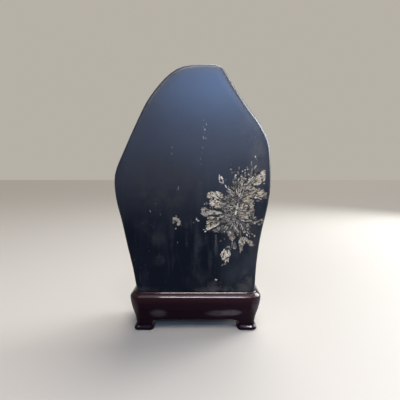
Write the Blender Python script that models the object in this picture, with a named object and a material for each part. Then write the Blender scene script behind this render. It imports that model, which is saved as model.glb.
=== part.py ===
"""A chrysanthemum stone standing in a carved rosewood stand.

Metres, +Z up. The origin lies on the surface that the stand rests on, in the middle of the whole
object, and the face of the stone that carries the flower looks along -Y. The stone is one piece: its
flower of crystals is fused to it.
"""
import math
import random

import bmesh
import bpy
from mathutils import Matrix, Vector, noise
from mathutils.bvhtree import BVHTree
from mathutils.geometry import convex_hull_2d

MM = 0.001

# The stone's face, seen from the front: across and up in millimetres, how far the edge rounds in from
# the outline, and how round that edge is (2 is an ellipse, more is squarer). Below the base the outline is
# cut away.
FACE_OUTLINE = (
    (-71, 27, 9, 2.0), (-74.9, 52, 9, 2.0), (-79.1, 80.5, 9, 4.4), (-86.6, 113.5, 9, 4.4),
    (-93.6, 146.7, 9, 4.4), (-100.5, 174.7, 9, 4.4), (-102.8, 197, 9, 4.4), (-101.4, 212, 9, 4.4),
    (-88.7, 242.5, 9, 4.4), (-73.6, 275.3, 9, 4.4), (-57.3, 306.9, 9, 4.4), (-33.6, 335.7, 9, 4.4),
    (-18.1, 346.8, 9, 4.4), (-4, 351.1, 9, 4.4), (19.2, 352.6, 9, 4.4), (32.5, 351.9, 9, 4.4),
    (38.8, 349.6, 9, 4.4), (53.2, 327.6, 9, 4.0), (75.7, 297.3, 9, 2.7), (91.5, 276.1, 9, 2.7),
    (101.8, 252.8, 9, 3.2), (103.8, 228, 9, 4.4), (104.1, 190.1, 9, 4.4), (100.6, 165.2, 9, 4.4),
    (94.1, 137.1, 9, 4.4), (89.7, 112.9, 9, 4.4), (86.1, 80, 9, 4.4), (85.2, 52, 9, 2.0), (83.3, 27, 9, 2.0),
    (79, 8, 9, 2.0), (45, -4, 9, 2.0), (6, -6, 9, 2.0), (-33, -4, 9, 2.0), (-67, 8, 9, 2.0),
)
STONE_TOP = 353 * MM
# Front to back: the two faces, and the line round the stone where it is widest.
FRONT_DEPTH = -33.0 * MM
BACK_DEPTH = 31.0 * MM
WIDEST_DEPTH_LOW = -24.0 * MM
WIDEST_DEPTH_TOP = -2.0 * MM
# The back's wide edge rounds in towards an upright line inside the stone, which runs between two heights.
BACK_RUN = 30.0 * MM
BACK_ROUNDNESS = 2.2
SPINE_LOW = 85 * MM
SPINE_HIGH = 265 * MM
# Above this height both faces lean in towards the top.
LEAN_HEIGHT = 215 * MM
FRONT_LEAN = 4.5 * MM
BACK_LEAN = 6.0 * MM
# The faces are not quite flat: slow swellings, which fade out towards the socket.
FRONT_SWELL = 0.7 * MM
BACK_SWELL = 3.4 * MM
BACK_HOLLOWS = 0.35
SWELL_SIZE = 85 * MM
SWELL_FADE = 40 * MM
SWELL_APART = 7.3
MIDDLE_OF_FACE = (3 * MM, 190 * MM)

AROUND_STONE = 92
CURVE_STEPS = 12
EDGE_STEPS = 6
FACE_STEPS = (0.15, 0.34, 0.58, 0.84)
STONE_COLOUR = (0.018, 0.022, 0.032)
STONE_ROUGHNESS = 0.42

# The flower on the stone's face.
FLOWER_CENTRE = (56.2 * MM, 162.2 * MM)
# A crystal is a long blade with pointed ends, lying along the face: how far its ridge stands out, how far
# its foot is sunk, and where along it, as a share of its length, the full width and the ridge start and
# end.
CRYSTAL_RISE = 0.8 * MM
CRYSTAL_SINK = 0.9 * MM
FULL_WIDTH = (0.35, 0.86)
RIDGE = (0.30, 0.84)
# Each spray of blades: first and last angle in degrees, anticlockwise from +X, inner and outer reach in
# millimetres, the width of a blade in millimetres, and the number of blades.
SPRAYS = (
    (110, 116, 36, 50, 4.6, 1), (102, 107, 25, 35, 2.6, 1), (139, 148, 20, 38, 2.6, 2),
    (151, 161, 19, 39, 2.8, 2), (163, 173, 18, 37, 2.8, 2), (178, 187, 16, 44, 2.6, 2),
    (195, 200, 21, 37, 3.0, 1), (203, 209, 21, 39, 3.4, 1), (211, 218, 22, 49, 2.6, 2),
    (221, 247, 20, 36, 1.9, 6), (256, 269, 25, 42, 2.5, 3), (277, 284, 36, 58, 2.8, 2),
    (289, 302, 37, 54, 3.2, 3), (304, 313, 27, 43, 2.7, 2), (317, 325, 21, 31, 1.9, 2),
    (336, 345, 27, 44, 2.7, 2), (-30, 28, 11, 26, 2.5, 7), (29, 35, 30, 46, 2.0, 2),
    (26, 30, 47, 53, 3.2, 1), (39, 48, 35, 47, 3.0, 2), (53, 63, 35, 64, 2.9, 3),
    (63, 71, 35, 48, 2.6, 2), (72, 98, 34, 59, 3.3, 6), (74, 114, 14, 28, 2.5, 5),
    (38, 73, 16, 33, 3.4, 4), (122, 190, 8, 18, 2.4, 6), (205, 310, 9, 22, 2.9, 9),
)
# The loose clusters below and beside the flower: across and up from its centre, length and width in
# millimetres, and the turn of the blade in degrees.
LOOSE_CRYSTALS = (
    (-12.5, -57.5, 10, 6.0, 75), (-9.5, -61.0, 8, 4.5, 20), (-8.5, -67.0, 7, 4.0, 60),
    (-1.0, -48.5, 7, 4.2, 90), (-76.0, -12.0, 8, 3.6, 60), (-73.0, -19.0, 6, 3.4, 110),
    (-55.0, -17.5, 3, 2.0, 40),
)
CRYSTAL_SEED = 3
# Triangles thinner than a hair are mended after the crystals are fused on.
HAIR = 0.02 * MM
MEND_ATTEMPTS = 3
# How far chance turns a blade, in degrees, and moves its ends, in millimetres, and how much it changes
# the width.
TURN_CHANCE = 0.5
INNER_CHANCE = (-1.0, 2.0)
OUTER_CHANCE = (-4.0, 0.0)
WIDTH_CHANCE = (0.85, 1.05)

# The stand.
STAND_MIDDLE = 4.6 * MM
STAND_WIDTH = 177 * MM
STAND_DEPTH = 82 * MM
CORNER_STEPS = 6
# The stand's outside from the floor up: how far it lies inside its widest outline, how high, and how
# round its corners are in plan, in millimetres.
STAND_PROFILE = (
    (7.2, 0.0, 4.6), (6.3, 0.5, 5.2), (5.9, 1.8, 5.5), (6.2, 3.8, 5.6), (7.2, 5.8, 6.0),
    (8.4, 7.6, 6.6), (9.2, 9.3, 7.4), (9.1, 10.9, 8.0), (8.4, 13.0, 8.8), (7.1, 16.4, 10.0),
    (5.6, 20.4, 11.4), (4.1, 24.8, 12.9), (2.7, 29.4, 14.3), (1.5, 34.0, 15.5), (0.6, 38.4, 16.4),
    (0.1, 42.2, 16.9), (0.0, 44.6, 17.0), (0.3, 46.4, 16.7), (1.0, 48.0, 16.0), (2.2, 49.3, 14.8),
    (3.6, 50.4, 13.4), (4.6, 51.0, 12.4), (5.1, 50.4, 11.9), (5.5, 51.5, 11.5), (6.3, 52.1, 10.7),
    (7.3, 51.9, 9.7),
)
RIM_TOP = 52.0 * MM
SOCKET_FLOOR = 27.0 * MM
FIT = 0.3 * MM
# One end of the arch between two feet: inwards from the end of the opening, and up, in millimetres.
ARCH_END = (
    (0.6, -3.0), (0.3, 1.2), (0.0, 3.6), (0.8, 5.8), (2.2, 7.6), (2.4, 8.8),
    (1.2, 10.4), (-2.0, 12.2), (-6.5, 13.5), (-12.0, 14.0),
)
FRONT_ARCH_HALF = 56.5 * MM
SIDE_ARCH_HALF = 16.0 * MM
CUT_REACH = 300 * MM
# A sharp corner of the socket's outline is moved out no further than this share would ask.
MITRE_LIMIT = 0.7
STAND_COLOUR = (0.050, 0.014, 0.014)
STAND_ROUGHNESS = 0.25


def clear_scene():
    for thing in list(bpy.data.objects):
        bpy.data.objects.remove(thing, do_unlink=True)


def finish_material(name, colour, roughness):
    material = bpy.data.materials.new(name)
    material.use_nodes = True
    shader = material.node_tree.nodes["Principled BSDF"]
    shader.inputs["Base Color"].default_value = (*colour, 1.0)
    shader.inputs["Roughness"].default_value = roughness
    shader.inputs["Metallic"].default_value = 0.0
    material.diffuse_color = (*colour, 1.0)
    return material


def object_from(shape, name):
    """Turn a bmesh into a named object in the scene."""
    mesh = bpy.data.meshes.new(name)
    shape.to_mesh(mesh)
    shape.free()
    thing = bpy.data.objects.new(name, mesh)
    bpy.context.scene.collection.objects.link(thing)
    return thing


def combine(target, tools, operation):
    """Join the tools to the target one after another, or cut them out of it, and remove them."""
    for tool in tools:
        tool.hide_render = True
        tool.display_type = "WIRE"
        step = target.modifiers.new(operation.lower(), "BOOLEAN")
        step.operation = operation
        step.solver = "EXACT"
        step.object = tool
        scene_state = bpy.context.evaluated_depsgraph_get()
        result = bpy.data.meshes.new_from_object(target.evaluated_get(scene_state))
        target.modifiers.clear()
        target.data = result
        bpy.data.objects.remove(tool, do_unlink=True)


def thickness(a, b, c):
    """How thin a triangle is: its height over its longest side."""
    longest = max((b - a).length, (c - b).length, (a - c).length)
    return (b - a).cross(c - a).length / longest


def flip_if_better(face):
    """Turn the longest edge of a thin triangle to the other corners of its quad, where that thickens it."""
    edge = max(face.edges, key=lambda side: side.calc_length())
    tips = []
    for side in edge.link_faces:
        tips += [vertex.co for vertex in side.verts if vertex not in edge.verts]
    first, second = (vertex.co for vertex in edge.verts)
    now = thickness(first, second, tips[0])
    if min(thickness(*tips, first), thickness(*tips, second)) > now:
        bmesh.utils.edge_rotate(edge)


def mend(thing):
    """Close up the hair-thin triangles that joining leaves behind, and keep the mesh closed."""
    shape = bmesh.new()
    shape.from_mesh(thing.data)
    bmesh.ops.remove_doubles(shape, verts=shape.verts, dist=HAIR)
    bmesh.ops.triangulate(shape, faces=shape.faces)
    for attempt in range(MEND_ATTEMPTS):
        for face in [face for face in shape.faces if thickness(*(v.co for v in face.verts)) < HAIR]:
            if face.is_valid:
                flip_if_better(face)
    shape.to_mesh(thing.data)
    shape.free()


def blend(first, second, share):
    return tuple(a + (b - a) * share for a, b in zip(first, second))


def knot_step(first, second):
    return math.sqrt(math.hypot(second[0] - first[0], second[1] - first[1]))


def between_points(before, start, end, after, steps):
    """Points from start towards end on the smooth curve that passes through all four corners."""
    at_start = knot_step(before, start)
    at_end = at_start + knot_step(start, end)
    at_after = at_end + knot_step(end, after)
    points = []
    for step in range(steps):
        at = at_start + (at_end - at_start) * step / steps
        first = blend(before, start, at / at_start)
        second = blend(start, end, (at - at_start) / (at_end - at_start))
        third = blend(end, after, (at - at_end) / (at_after - at_end))
        earlier = blend(first, second, at / at_end)
        later = blend(second, third, (at - at_start) / (at_after - at_start))
        points.append(blend(earlier, later, (at - at_start) / (at_end - at_start)))
    return points


def even_outline(corners, count):
    """A smooth closed curve through the corners, read at evenly spaced points."""
    total = len(corners)
    dense = []
    for k in range(total):
        after = corners[(k + 1) % total]
        dense += between_points(corners[k - 1], corners[k], after, corners[(k + 2) % total], CURVE_STEPS)
    lengths = [0.0]
    for first, second in zip(dense, dense[1:] + dense[:1]):
        lengths.append(lengths[-1] + math.hypot(second[0] - first[0], second[1] - first[1]))
    points = []
    segment = 0
    for k in range(count):
        wanted = lengths[-1] * k / count
        while lengths[segment + 1] < wanted:
            segment += 1
        share = (wanted - lengths[segment]) / (lengths[segment + 1] - lengths[segment])
        points.append(blend(dense[segment], dense[(segment + 1) % len(dense)], share))
    return points


def widest_depth(up):
    """Where the stone is widest, front to back, at a height."""
    share = (up - RIM_TOP) / (STONE_TOP - RIM_TOP)
    return WIDEST_DEPTH_LOW + (WIDEST_DEPTH_TOP - WIDEST_DEPTH_LOW) * share


def swell(across, up, side):
    """Slow uneven swelling of a face, none where the stone stands in its socket."""
    rise = min(max((up - RIM_TOP) / SWELL_FADE, 0.0), 1.0)
    return rise * noise.noise(Vector((across / SWELL_SIZE, side * SWELL_APART, up / SWELL_SIZE)))


def lean_share(up):
    return max((up - LEAN_HEIGHT) / (STONE_TOP - LEAN_HEIGHT), 0.0)


def front_depth(across, up):
    return FRONT_DEPTH + FRONT_LEAN * lean_share(up) ** 2 + FRONT_SWELL * swell(across, up, -1)


def back_depth(across, up):
    swelling = swell(across, up, 1) - BACK_HOLLOWS * abs(swell(across, up, 0))
    return BACK_DEPTH - BACK_LEAN * lean_share(up) + BACK_SWELL * swelling


def inward_direction(outline, k):
    before = outline[k - 1]
    after = outline[(k + 1) % len(outline)]
    along = Vector((after[0] - before[0], after[1] - before[1])).normalized()
    return Vector((along.y, -along.x))


def spine_direction(across, up):
    goal = Vector((MIDDLE_OF_FACE[0], min(max(up, SPINE_LOW), SPINE_HIGH)))
    return (goal - Vector((across, up))).normalized()


def face_rings(outline, side):
    """Rings of points from just inside the outline to near the middle of the front or the back face."""
    rings = []
    depth_at = front_depth if side < 0 else back_depth
    for step in range(1, EDGE_STEPS + 1):
        turn = math.pi / 2 * step / EDGE_STEPS
        ring = []
        for k, (across, up, run, roundness) in enumerate(outline):
            inwards = inward_direction(outline, k)
            if side > 0:
                run = BACK_RUN
                roundness = BACK_ROUNDNESS
                inwards = spine_direction(across, up)
            spot = Vector((across, up)) + inwards * run * (1.0 - math.cos(turn) ** (2.0 / roundness))
            depth = widest_depth(up)
            depth += (depth_at(spot.x, spot.y) - depth) * math.sin(turn) ** (2.0 / roundness)
            ring.append(Vector((spot.x, depth, spot.y)))
        rings.append(ring)
    end_of_edge = rings[-1]
    middle = Vector(MIDDLE_OF_FACE)
    for share in FACE_STEPS:
        ring = []
        for point in end_of_edge:
            spot = Vector((point.x, point.z)).lerp(middle, share)
            ring.append(Vector((spot.x, depth_at(spot.x, spot.y), spot.y)))
        rings.append(ring)
    return rings


def skin(shape, first, second, flip):
    """Quads between two rings of vertices."""
    count = len(first)
    for k in range(count):
        corners = [first[k], first[(k + 1) % count], second[(k + 1) % count], second[k]]
        shape.faces.new(corners[::-1] if flip else corners)


def stone_body():
    """The stone without its crystals: two faces joined at the outline, cut flat where it stands."""
    scaled = [(across * MM, up * MM, run * MM, roundness) for across, up, run, roundness in FACE_OUTLINE]
    outline = even_outline(scaled, AROUND_STONE)
    shape = bmesh.new()
    edge = [shape.verts.new((across, widest_depth(up), up)) for across, up, run, roundness in outline]
    for side in (-1, 1):
        depth_at = front_depth if side < 0 else back_depth
        previous = edge
        for ring in face_rings(outline, side):
            current = [shape.verts.new(point) for point in ring]
            skin(shape, previous, current, side > 0)
            previous = current
        across, up = MIDDLE_OF_FACE
        pole = shape.verts.new((across, depth_at(across, up), up))
        for k in range(len(previous)):
            corners = [previous[k], previous[(k + 1) % len(previous)], pole]
            shape.faces.new(corners[::-1] if side > 0 else corners)
    cut_flat(shape, SOCKET_FLOOR + FIT, above=True)
    bmesh.ops.recalc_face_normals(shape, faces=shape.faces)
    bmesh.ops.triangulate(shape, faces=shape.faces)
    return shape


def cut_flat(shape, height, above):
    """Keep what lies above or below a height, and close the cut."""
    everything = shape.verts[:] + shape.edges[:] + shape.faces[:]
    cut = bmesh.ops.bisect_plane(
        shape, geom=everything, plane_co=(0, 0, height), plane_no=(0, 0, 1),
        clear_inner=above, clear_outer=not above
    )
    rim = [piece for piece in cut["geom_cut"] if isinstance(piece, bmesh.types.BMEdge)]
    bmesh.ops.edgenet_fill(shape, edges=rim)


def blade(skin_tree, start, end, width):
    """One flat-faced crystal lying on the stone's face, from a start to an end point, across and up."""
    start = Vector(start)
    end = Vector(end)
    along = end - start
    sideways = Vector((-along.y, along.x)).normalized() * width / 2
    places = [(start, -CRYSTAL_SINK), (end, -CRYSTAL_SINK)]
    for share in FULL_WIDTH:
        places.append((start + along * share + sideways, -CRYSTAL_SINK))
        places.append((start + along * share - sideways, -CRYSTAL_SINK))
    for share in RIDGE:
        places.append((start + along * share, CRYSTAL_RISE))
    shape = bmesh.new()
    for spot, height in places:
        point, normal, face, distance = skin_tree.ray_cast(Vector((spot.x, -1.0, spot.y)), Vector((0, 1, 0)))
        shape.verts.new(point + normal * height)
    bmesh.ops.convex_hull(shape, input=shape.verts)
    bmesh.ops.recalc_face_normals(shape, faces=shape.faces)
    return object_from(shape, "blade")


def direction(degrees):
    return Vector((math.cos(math.radians(degrees)), math.sin(math.radians(degrees))))


def crystal_blades(skin_tree):
    chance = random.Random(CRYSTAL_SEED)
    middle = Vector(FLOWER_CENTRE)
    blades = []
    for first, last, inner, outer, width, count in SPRAYS:
        for k in range(count):
            turn = first + (last - first) * (k + 0.5) / count + chance.uniform(-TURN_CHANCE, TURN_CHANCE)
            near = direction(turn) * (inner + chance.uniform(*INNER_CHANCE)) * MM
            far = direction(turn) * (outer + chance.uniform(*OUTER_CHANCE)) * MM
            size = width * chance.uniform(*WIDTH_CHANCE) * MM
            blades.append(blade(skin_tree, middle + near, middle + far, size))
    for across, up, length, width, turn in LOOSE_CRYSTALS:
        spot = middle + Vector((across, up)) * MM
        reach = direction(turn) * length / 2 * MM
        blades.append(blade(skin_tree, spot - reach, spot + reach, width * MM))
    return blades


def make_stone():
    shape = stone_body()
    skin_tree = BVHTree.FromBMesh(shape)
    footprint = socket_outline(shape.copy())
    stone = object_from(shape, "stone")
    combine(stone, crystal_blades(skin_tree), "UNION")
    mend(stone)
    return stone, footprint


def socket_outline(shape):
    """The outline, in plan, of what stands in the socket, with the fit all round."""
    cut_flat(shape, RIM_TOP, above=False)
    points = [vertex.co.xy for vertex in shape.verts]
    hull = [points[k] for k in convex_hull_2d(points)]
    shape.free()
    middle = sum(hull, Vector((0, 0))) / len(hull)
    grown = []
    for k, point in enumerate(hull):
        before = (point - hull[k - 1]).normalized()
        after = (hull[(k + 1) % len(hull)] - point).normalized()
        outwards = Vector((before.y + after.y, -before.x - after.x)).normalized()
        if outwards.dot(point - middle) < 0:
            outwards = -outwards
        squareness = abs(outwards.dot(Vector((after.y, -after.x))))
        grown.append(point + outwards * FIT / max(squareness, MITRE_LIMIT))
    return grown


def rounded_rectangle(inset, radius):
    """The stand's outline in plan, drawn in from its widest by an inset."""
    half_across = STAND_WIDTH / 2 - inset - radius
    half_deep = STAND_DEPTH / 2 - inset - radius
    points = []
    for quarter, (sx, sy) in enumerate(((1, 1), (-1, 1), (-1, -1), (1, -1))):
        for step in range(CORNER_STEPS + 1):
            angle = math.pi / 2 * (quarter + step / CORNER_STEPS)
            across = STAND_MIDDLE + sx * half_across + radius * math.cos(angle)
            points.append((across, sy * half_deep + radius * math.sin(angle)))
    return points


def upright_prism(outline, low, high, name):
    shape = bmesh.new()
    base = [shape.verts.new((x, y, low)) for x, y in outline]
    top = [shape.verts.new((x, y, high)) for x, y in outline]
    skin(shape, base, top, False)
    shape.faces.new(base[::-1])
    shape.faces.new(top)
    bmesh.ops.recalc_face_normals(shape, faces=shape.faces)
    return object_from(shape, name)


def arch_cutter(half, turn, name):
    """The opening between two feet, run right through the stand, along Y or turned to run along X."""
    right = [(half + inwards * MM, up * MM) for inwards, up in ARCH_END]
    outline = right + [(-across, up) for across, up in reversed(right)]
    shape = bmesh.new()
    near = [shape.verts.new((across, -CUT_REACH, up)) for across, up in outline]
    far = [shape.verts.new((across, CUT_REACH, up)) for across, up in outline]
    skin(shape, near, far, False)
    shape.faces.new(near[::-1])
    shape.faces.new(far)
    bmesh.ops.recalc_face_normals(shape, faces=shape.faces)
    bmesh.ops.transform(shape, matrix=Matrix.Rotation(turn, 4, "Z"), verts=shape.verts)
    bmesh.ops.translate(shape, vec=(STAND_MIDDLE, 0, 0), verts=shape.verts)
    return object_from(shape, name)


def make_stand(footprint):
    shape = bmesh.new()
    previous = None
    for inset, height, corner in STAND_PROFILE:
        ring = [shape.verts.new((x, y, height * MM)) for x, y in rounded_rectangle(inset * MM, corner * MM)]
        if previous is None:
            shape.faces.new(ring[::-1])
        else:
            skin(shape, previous, ring, False)
        previous = ring
    shape.faces.new(previous)
    bmesh.ops.recalc_face_normals(shape, faces=shape.faces)
    stand = object_from(shape, "stand")
    socket = upright_prism(footprint, SOCKET_FLOOR, STONE_TOP, "socket")
    front_arch = arch_cutter(FRONT_ARCH_HALF, 0.0, "front_arch")
    side_arch = arch_cutter(SIDE_ARCH_HALF, math.pi / 2, "side_arch")
    combine(stand, [socket, front_arch, side_arch], "DIFFERENCE")
    return stand


def dress(thing, material, sharp_angle):
    """Give an object its one material, and shade it round except across its sharp edges."""
    thing.data.materials.clear()
    thing.data.materials.append(material)
    thing.data.shade_smooth()
    thing.data.set_sharp_from_angle(angle=math.radians(sharp_angle))


def build():
    clear_scene()
    stone, footprint = make_stone()
    stand = make_stand(footprint)
    dress(stone, finish_material("polished_black_stone", STONE_COLOUR, STONE_ROUGHNESS), 32)
    dress(stand, finish_material("rosewood", STAND_COLOUR, STAND_ROUGHNESS), 35)


build()
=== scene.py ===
"""A chrysanthemum stone on its carved rosewood stand, dressed for a studio picture."""
import math
import random

import bmesh
import bpy
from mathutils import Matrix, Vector, noise
from mathutils.bvhtree import BVHTree
from mathutils.geometry import convex_hull_2d


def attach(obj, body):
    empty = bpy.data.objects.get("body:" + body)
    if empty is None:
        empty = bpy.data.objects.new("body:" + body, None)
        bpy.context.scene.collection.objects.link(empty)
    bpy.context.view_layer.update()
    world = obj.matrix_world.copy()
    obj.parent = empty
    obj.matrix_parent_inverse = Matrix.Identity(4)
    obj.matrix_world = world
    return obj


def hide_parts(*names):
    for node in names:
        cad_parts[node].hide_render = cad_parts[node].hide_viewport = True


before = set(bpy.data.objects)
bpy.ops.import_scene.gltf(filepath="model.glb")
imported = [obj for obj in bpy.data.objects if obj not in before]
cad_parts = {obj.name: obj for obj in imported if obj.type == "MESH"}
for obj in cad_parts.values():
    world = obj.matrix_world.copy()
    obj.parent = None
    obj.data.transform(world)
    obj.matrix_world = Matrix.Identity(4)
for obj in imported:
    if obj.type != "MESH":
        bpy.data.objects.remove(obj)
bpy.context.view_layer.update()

MM = 0.001

# The stand, from the floor up: inset from its widest outline, height, and corner radius in plan, in mm.
STAND_MIDDLE = 4.6
STAND_WIDTH = 177.0
STAND_DEPTH = 82.0
CORNER_STEPS = 12
STAND_PROFILE = (
    (8.6, 0.0, 4.0), (7.2, 0.5, 4.8), (6.2, 1.5, 5.4), (5.8, 2.9, 5.6), (6.1, 4.2, 5.6), (7.0, 5.4, 6.0),
    (7.7, 6.5, 6.6), (8.1, 7.8, 7.2), (8.2, 9.3, 7.6), (8.0, 10.9, 8.0), (7.5, 13.0, 8.8), (6.8, 16.4, 10.0),
    (5.6, 20.4, 11.4), (4.1, 24.8, 12.9), (2.7, 29.4, 14.3), (1.5, 34.0, 15.5), (0.6, 38.4, 16.4),
    (0.1, 42.2, 16.9), (0.0, 44.8, 17.0), (0.2, 46.4, 16.8), (0.75, 47.52, 16.25), (0.95, 47.74, 16.05),
    (1.6, 48.45, 15.4), (1.8, 48.67, 15.2), (2.8, 49.5, 14.2), (4.0, 50.4, 13.0), (4.8, 50.9, 12.2),
    (5.2, 50.8, 11.9), (5.35, 50.2, 11.8), (5.5, 50.0, 11.7), (5.7, 50.4, 11.6), (5.8, 51.3, 11.5),
    (5.88, 51.62, 11.4), (6.0, 51.78, 11.3), (6.42, 52.24, 11.0), (6.6, 52.4, 10.9), (6.95, 52.5, 10.6),
    (7.4, 52.5, 10.2),
)
RIM_TOP = 52.0
# The socket's floor, and how far above the stand its cutter reaches; the play left round the stone; how far
# above the rim the stone still counts as standing in the socket.
SOCKET_FLOOR = 27.0
SOCKET_OPEN = 90.0
PLAY = 0.39
FOOTPRINT_REACH = 2.0
# One side of an arch, from below the floor up: (beyond the arch's half width, height)
ARCH_END = (
    (0.6, -3.0), (0.3, 1.2), (0.0, 3.6), (0.8, 5.8), (2.2, 7.6), (2.4, 8.8), (1.2, 10.4), (-2.0, 12.2),
    (-6.5, 13.5), (-12.0, 14.0),
)
FRONT_ARCH_HALF = 56.5
SIDE_ARCH_HALF = 16.0
# How the mouth of an arch flares, which rounds the feet: (how far out, how much wider). It starts MOUTH_INSET
# inside the stand's widest outline and rises by MOUTH_RISE of its flare.
FOOT_ROUNDING = (
    (-7.0, 0.0), (-5.0, 0.4), (-3.2, 1.1), (-1.8, 2.0), (-0.8, 3.0), (-0.1, 4.1), (0.5, 5.5), (1.4, 7.5),
)
MOUTH_INSET = 6.0
MOUTH_RISE = 0.45
ARCH_REACH = 150.0
# The feet's sharp edges are bevelled below FEET_TOP where they bend more than SHARP_BEND degrees.
FEET_TOP = 14.8
SHARP_BEND = 50
FOOT_BEVEL = 0.6
SMOOTH_BELOW = 38
MERGE_DISTANCE = 0.00002
# The stone's face, in mm: how far back it lies, its lean and slow swelling, and how its edge is worked.
STONE_TOP = 353.0
FACE_DEPTH = -33.0
WIDEST_LOW = -24.0
WIDEST_TOP = -2.0
LEAN_HEIGHT = 215.0
FACE_LEAN = 4.5
FACE_SWELL = 0.7
SWELL_SIZE = 85.0
SWELL_FADE = 40.0
SWELL_APART = 7.3
BEVEL_WIDTH = 14.0
BEVEL_SLOPE = 0.05
ROUNDING = 9.0
# The edge is tight, with a superellipse's power of SQUARENESS, but softer round one place at the upper right.
SQUARENESS = 4.4
SOFTER_BY = 2.2
SOFT_PLACE = (84.0, 284.0)
SOFT_REACH = 60.0
# Only the front above WORKED_FROM is laid on the worked face, and fully so from WORKED_EASE higher on.
WORKED_FROM = 54.0
WORKED_EASE = 20.0
FRONT_CLEAR = 0.3
MARGIN_EASE = 0.8
EDGE_MARGIN = 0.7
FIRST_GRID = 1.6
LAST_GRID = 1.45
WALL_CENTRE = 0.15


def nothing_selected():
    """Leave edit mode, with no piece selected."""
    if bpy.context.object and bpy.context.object.mode != "OBJECT":
        bpy.ops.object.mode_set(mode="OBJECT")
    bpy.ops.object.select_all(action="DESELECT")


def only(piece):
    """Make one piece the only one selected, and the active one."""
    nothing_selected()
    piece.select_set(True)
    bpy.context.view_layer.objects.active = piece


def apply_all(piece):
    """Apply a piece's modifiers in turn."""
    only(piece)
    for step in list(piece.modifiers):
        bpy.ops.object.modifier_apply(modifier=step.name)


def curve_through(points, steps):
    """Points on a smooth curve through corner points that may hold any count of numbers."""
    found = []
    for k, (start, end) in enumerate(zip(points, points[1:])):
        before = points[k - 1] if k else tuple(2 * a - b for a, b in zip(start, end))
        after = points[k + 2] if k + 2 < len(points) else tuple(2 * b - a for a, b in zip(start, end))
        for step in range(steps):
            at = step / steps
            found.append(tuple(
                0.5 * (2 * s + (e - b) * at + (2 * b - 5 * s + 4 * e - a) * at ** 2
                       + (3 * s - b - 3 * e + a) * at ** 3)
                for b, s, e, a in zip(before, start, end, after)
            ))
    found.append(tuple(points[-1]))
    return found


# Modelling

def loft(name, rings):
    """A closed solid through rings of points in metres: a disc is extruded from each ring to the next."""
    count = len(rings[0])
    nothing_selected()
    bpy.ops.mesh.primitive_circle_add(vertices=count, radius=1.0, fill_type="NGON")
    piece = bpy.context.object
    piece.name = name
    piece.data.name = name
    for vertex, place in zip(piece.data.vertices, rings[0]):
        vertex.co = place
    bpy.ops.object.mode_set(mode="EDIT")
    bpy.ops.mesh.select_all(action="SELECT")
    for last, ring in zip(rings, rings[1:]):
        bpy.ops.mesh.extrude_region_move()
        shape = bmesh.from_edit_mesh(piece.data)
        for vertex in shape.verts:
            if vertex.select:
                nearest = min(range(count), key=lambda k: (vertex.co - last[k]).length_squared)
                vertex.co = ring[nearest]
        bmesh.update_edit_mesh(piece.data)
    bpy.ops.mesh.select_all(action="SELECT")
    bpy.ops.mesh.normals_make_consistent(inside=False)
    bpy.ops.object.mode_set(mode="OBJECT")
    return piece


def cut_out(piece, cutter):
    """Cut one solid out of another, and remove the cutter."""
    cut = piece.modifiers.new("cut", "BOOLEAN")
    cut.operation = "DIFFERENCE"
    cut.solver = "EXACT"
    cut.object = cutter
    apply_all(piece)
    bpy.data.objects.remove(cutter, do_unlink=True)


def rounded_oblong(inset, height, radius):
    """One ring of the stand's outline in plan."""
    half_across = STAND_WIDTH / 2 - inset - radius
    half_deep = STAND_DEPTH / 2 - inset - radius
    ring = []
    for quarter, (sx, sy) in enumerate(((1, 1), (-1, 1), (-1, -1), (1, -1))):
        for step in range(CORNER_STEPS + 1):
            angle = math.pi / 2 * (quarter + step / CORNER_STEPS)
            across = STAND_MIDDLE + sx * half_across + radius * math.cos(angle)
            ring.append(Vector((across, sy * half_deep + radius * math.sin(angle), height)) * MM)
    return ring


def stone_footprint():
    """The outline in plan of the stone's part that stands in the socket, with the fit all round, in mm."""
    top = (RIM_TOP + FOOTPRINT_REACH) * MM
    points = [v.co.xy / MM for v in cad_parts["stone"].data.vertices if v.co.z < top]
    hull = [points[k] for k in convex_hull_2d(points)]
    middle = sum(hull, Vector((0, 0))) / len(hull)
    return [point + (point - middle).normalized() * PLAY for point in hull]


def arch_rings(half, half_stand, along_x):
    """The prism that opens the stand between two feet, flared at both mouths so that the feet are rounded."""
    outline = [(half + beyond, up) for beyond, up in curve_through(ARCH_END, 3)]
    outline += [(-across, up) for across, up in reversed(outline)]
    top = ARCH_END[-1][1]
    mouth = [(half_stand - MOUTH_INSET + depth, flare) for depth, flare in FOOT_ROUNDING]
    mouth.append((ARCH_REACH, mouth[-1][1]))
    rings = []
    for reach, flare in [(-reach, flare) for reach, flare in reversed(mouth)] + mouth:
        ring = []
        for across, up in outline:
            across += math.copysign(flare, across) * min(abs(across) / half, 1.0)
            up += flare * MOUTH_RISE * max(up, 0.0) / top
            place = (STAND_MIDDLE + reach, across, up) if along_x else (STAND_MIDDLE + across, reach, up)
            ring.append(Vector(place) * MM)
        rings.append(ring)
    return rings


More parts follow.
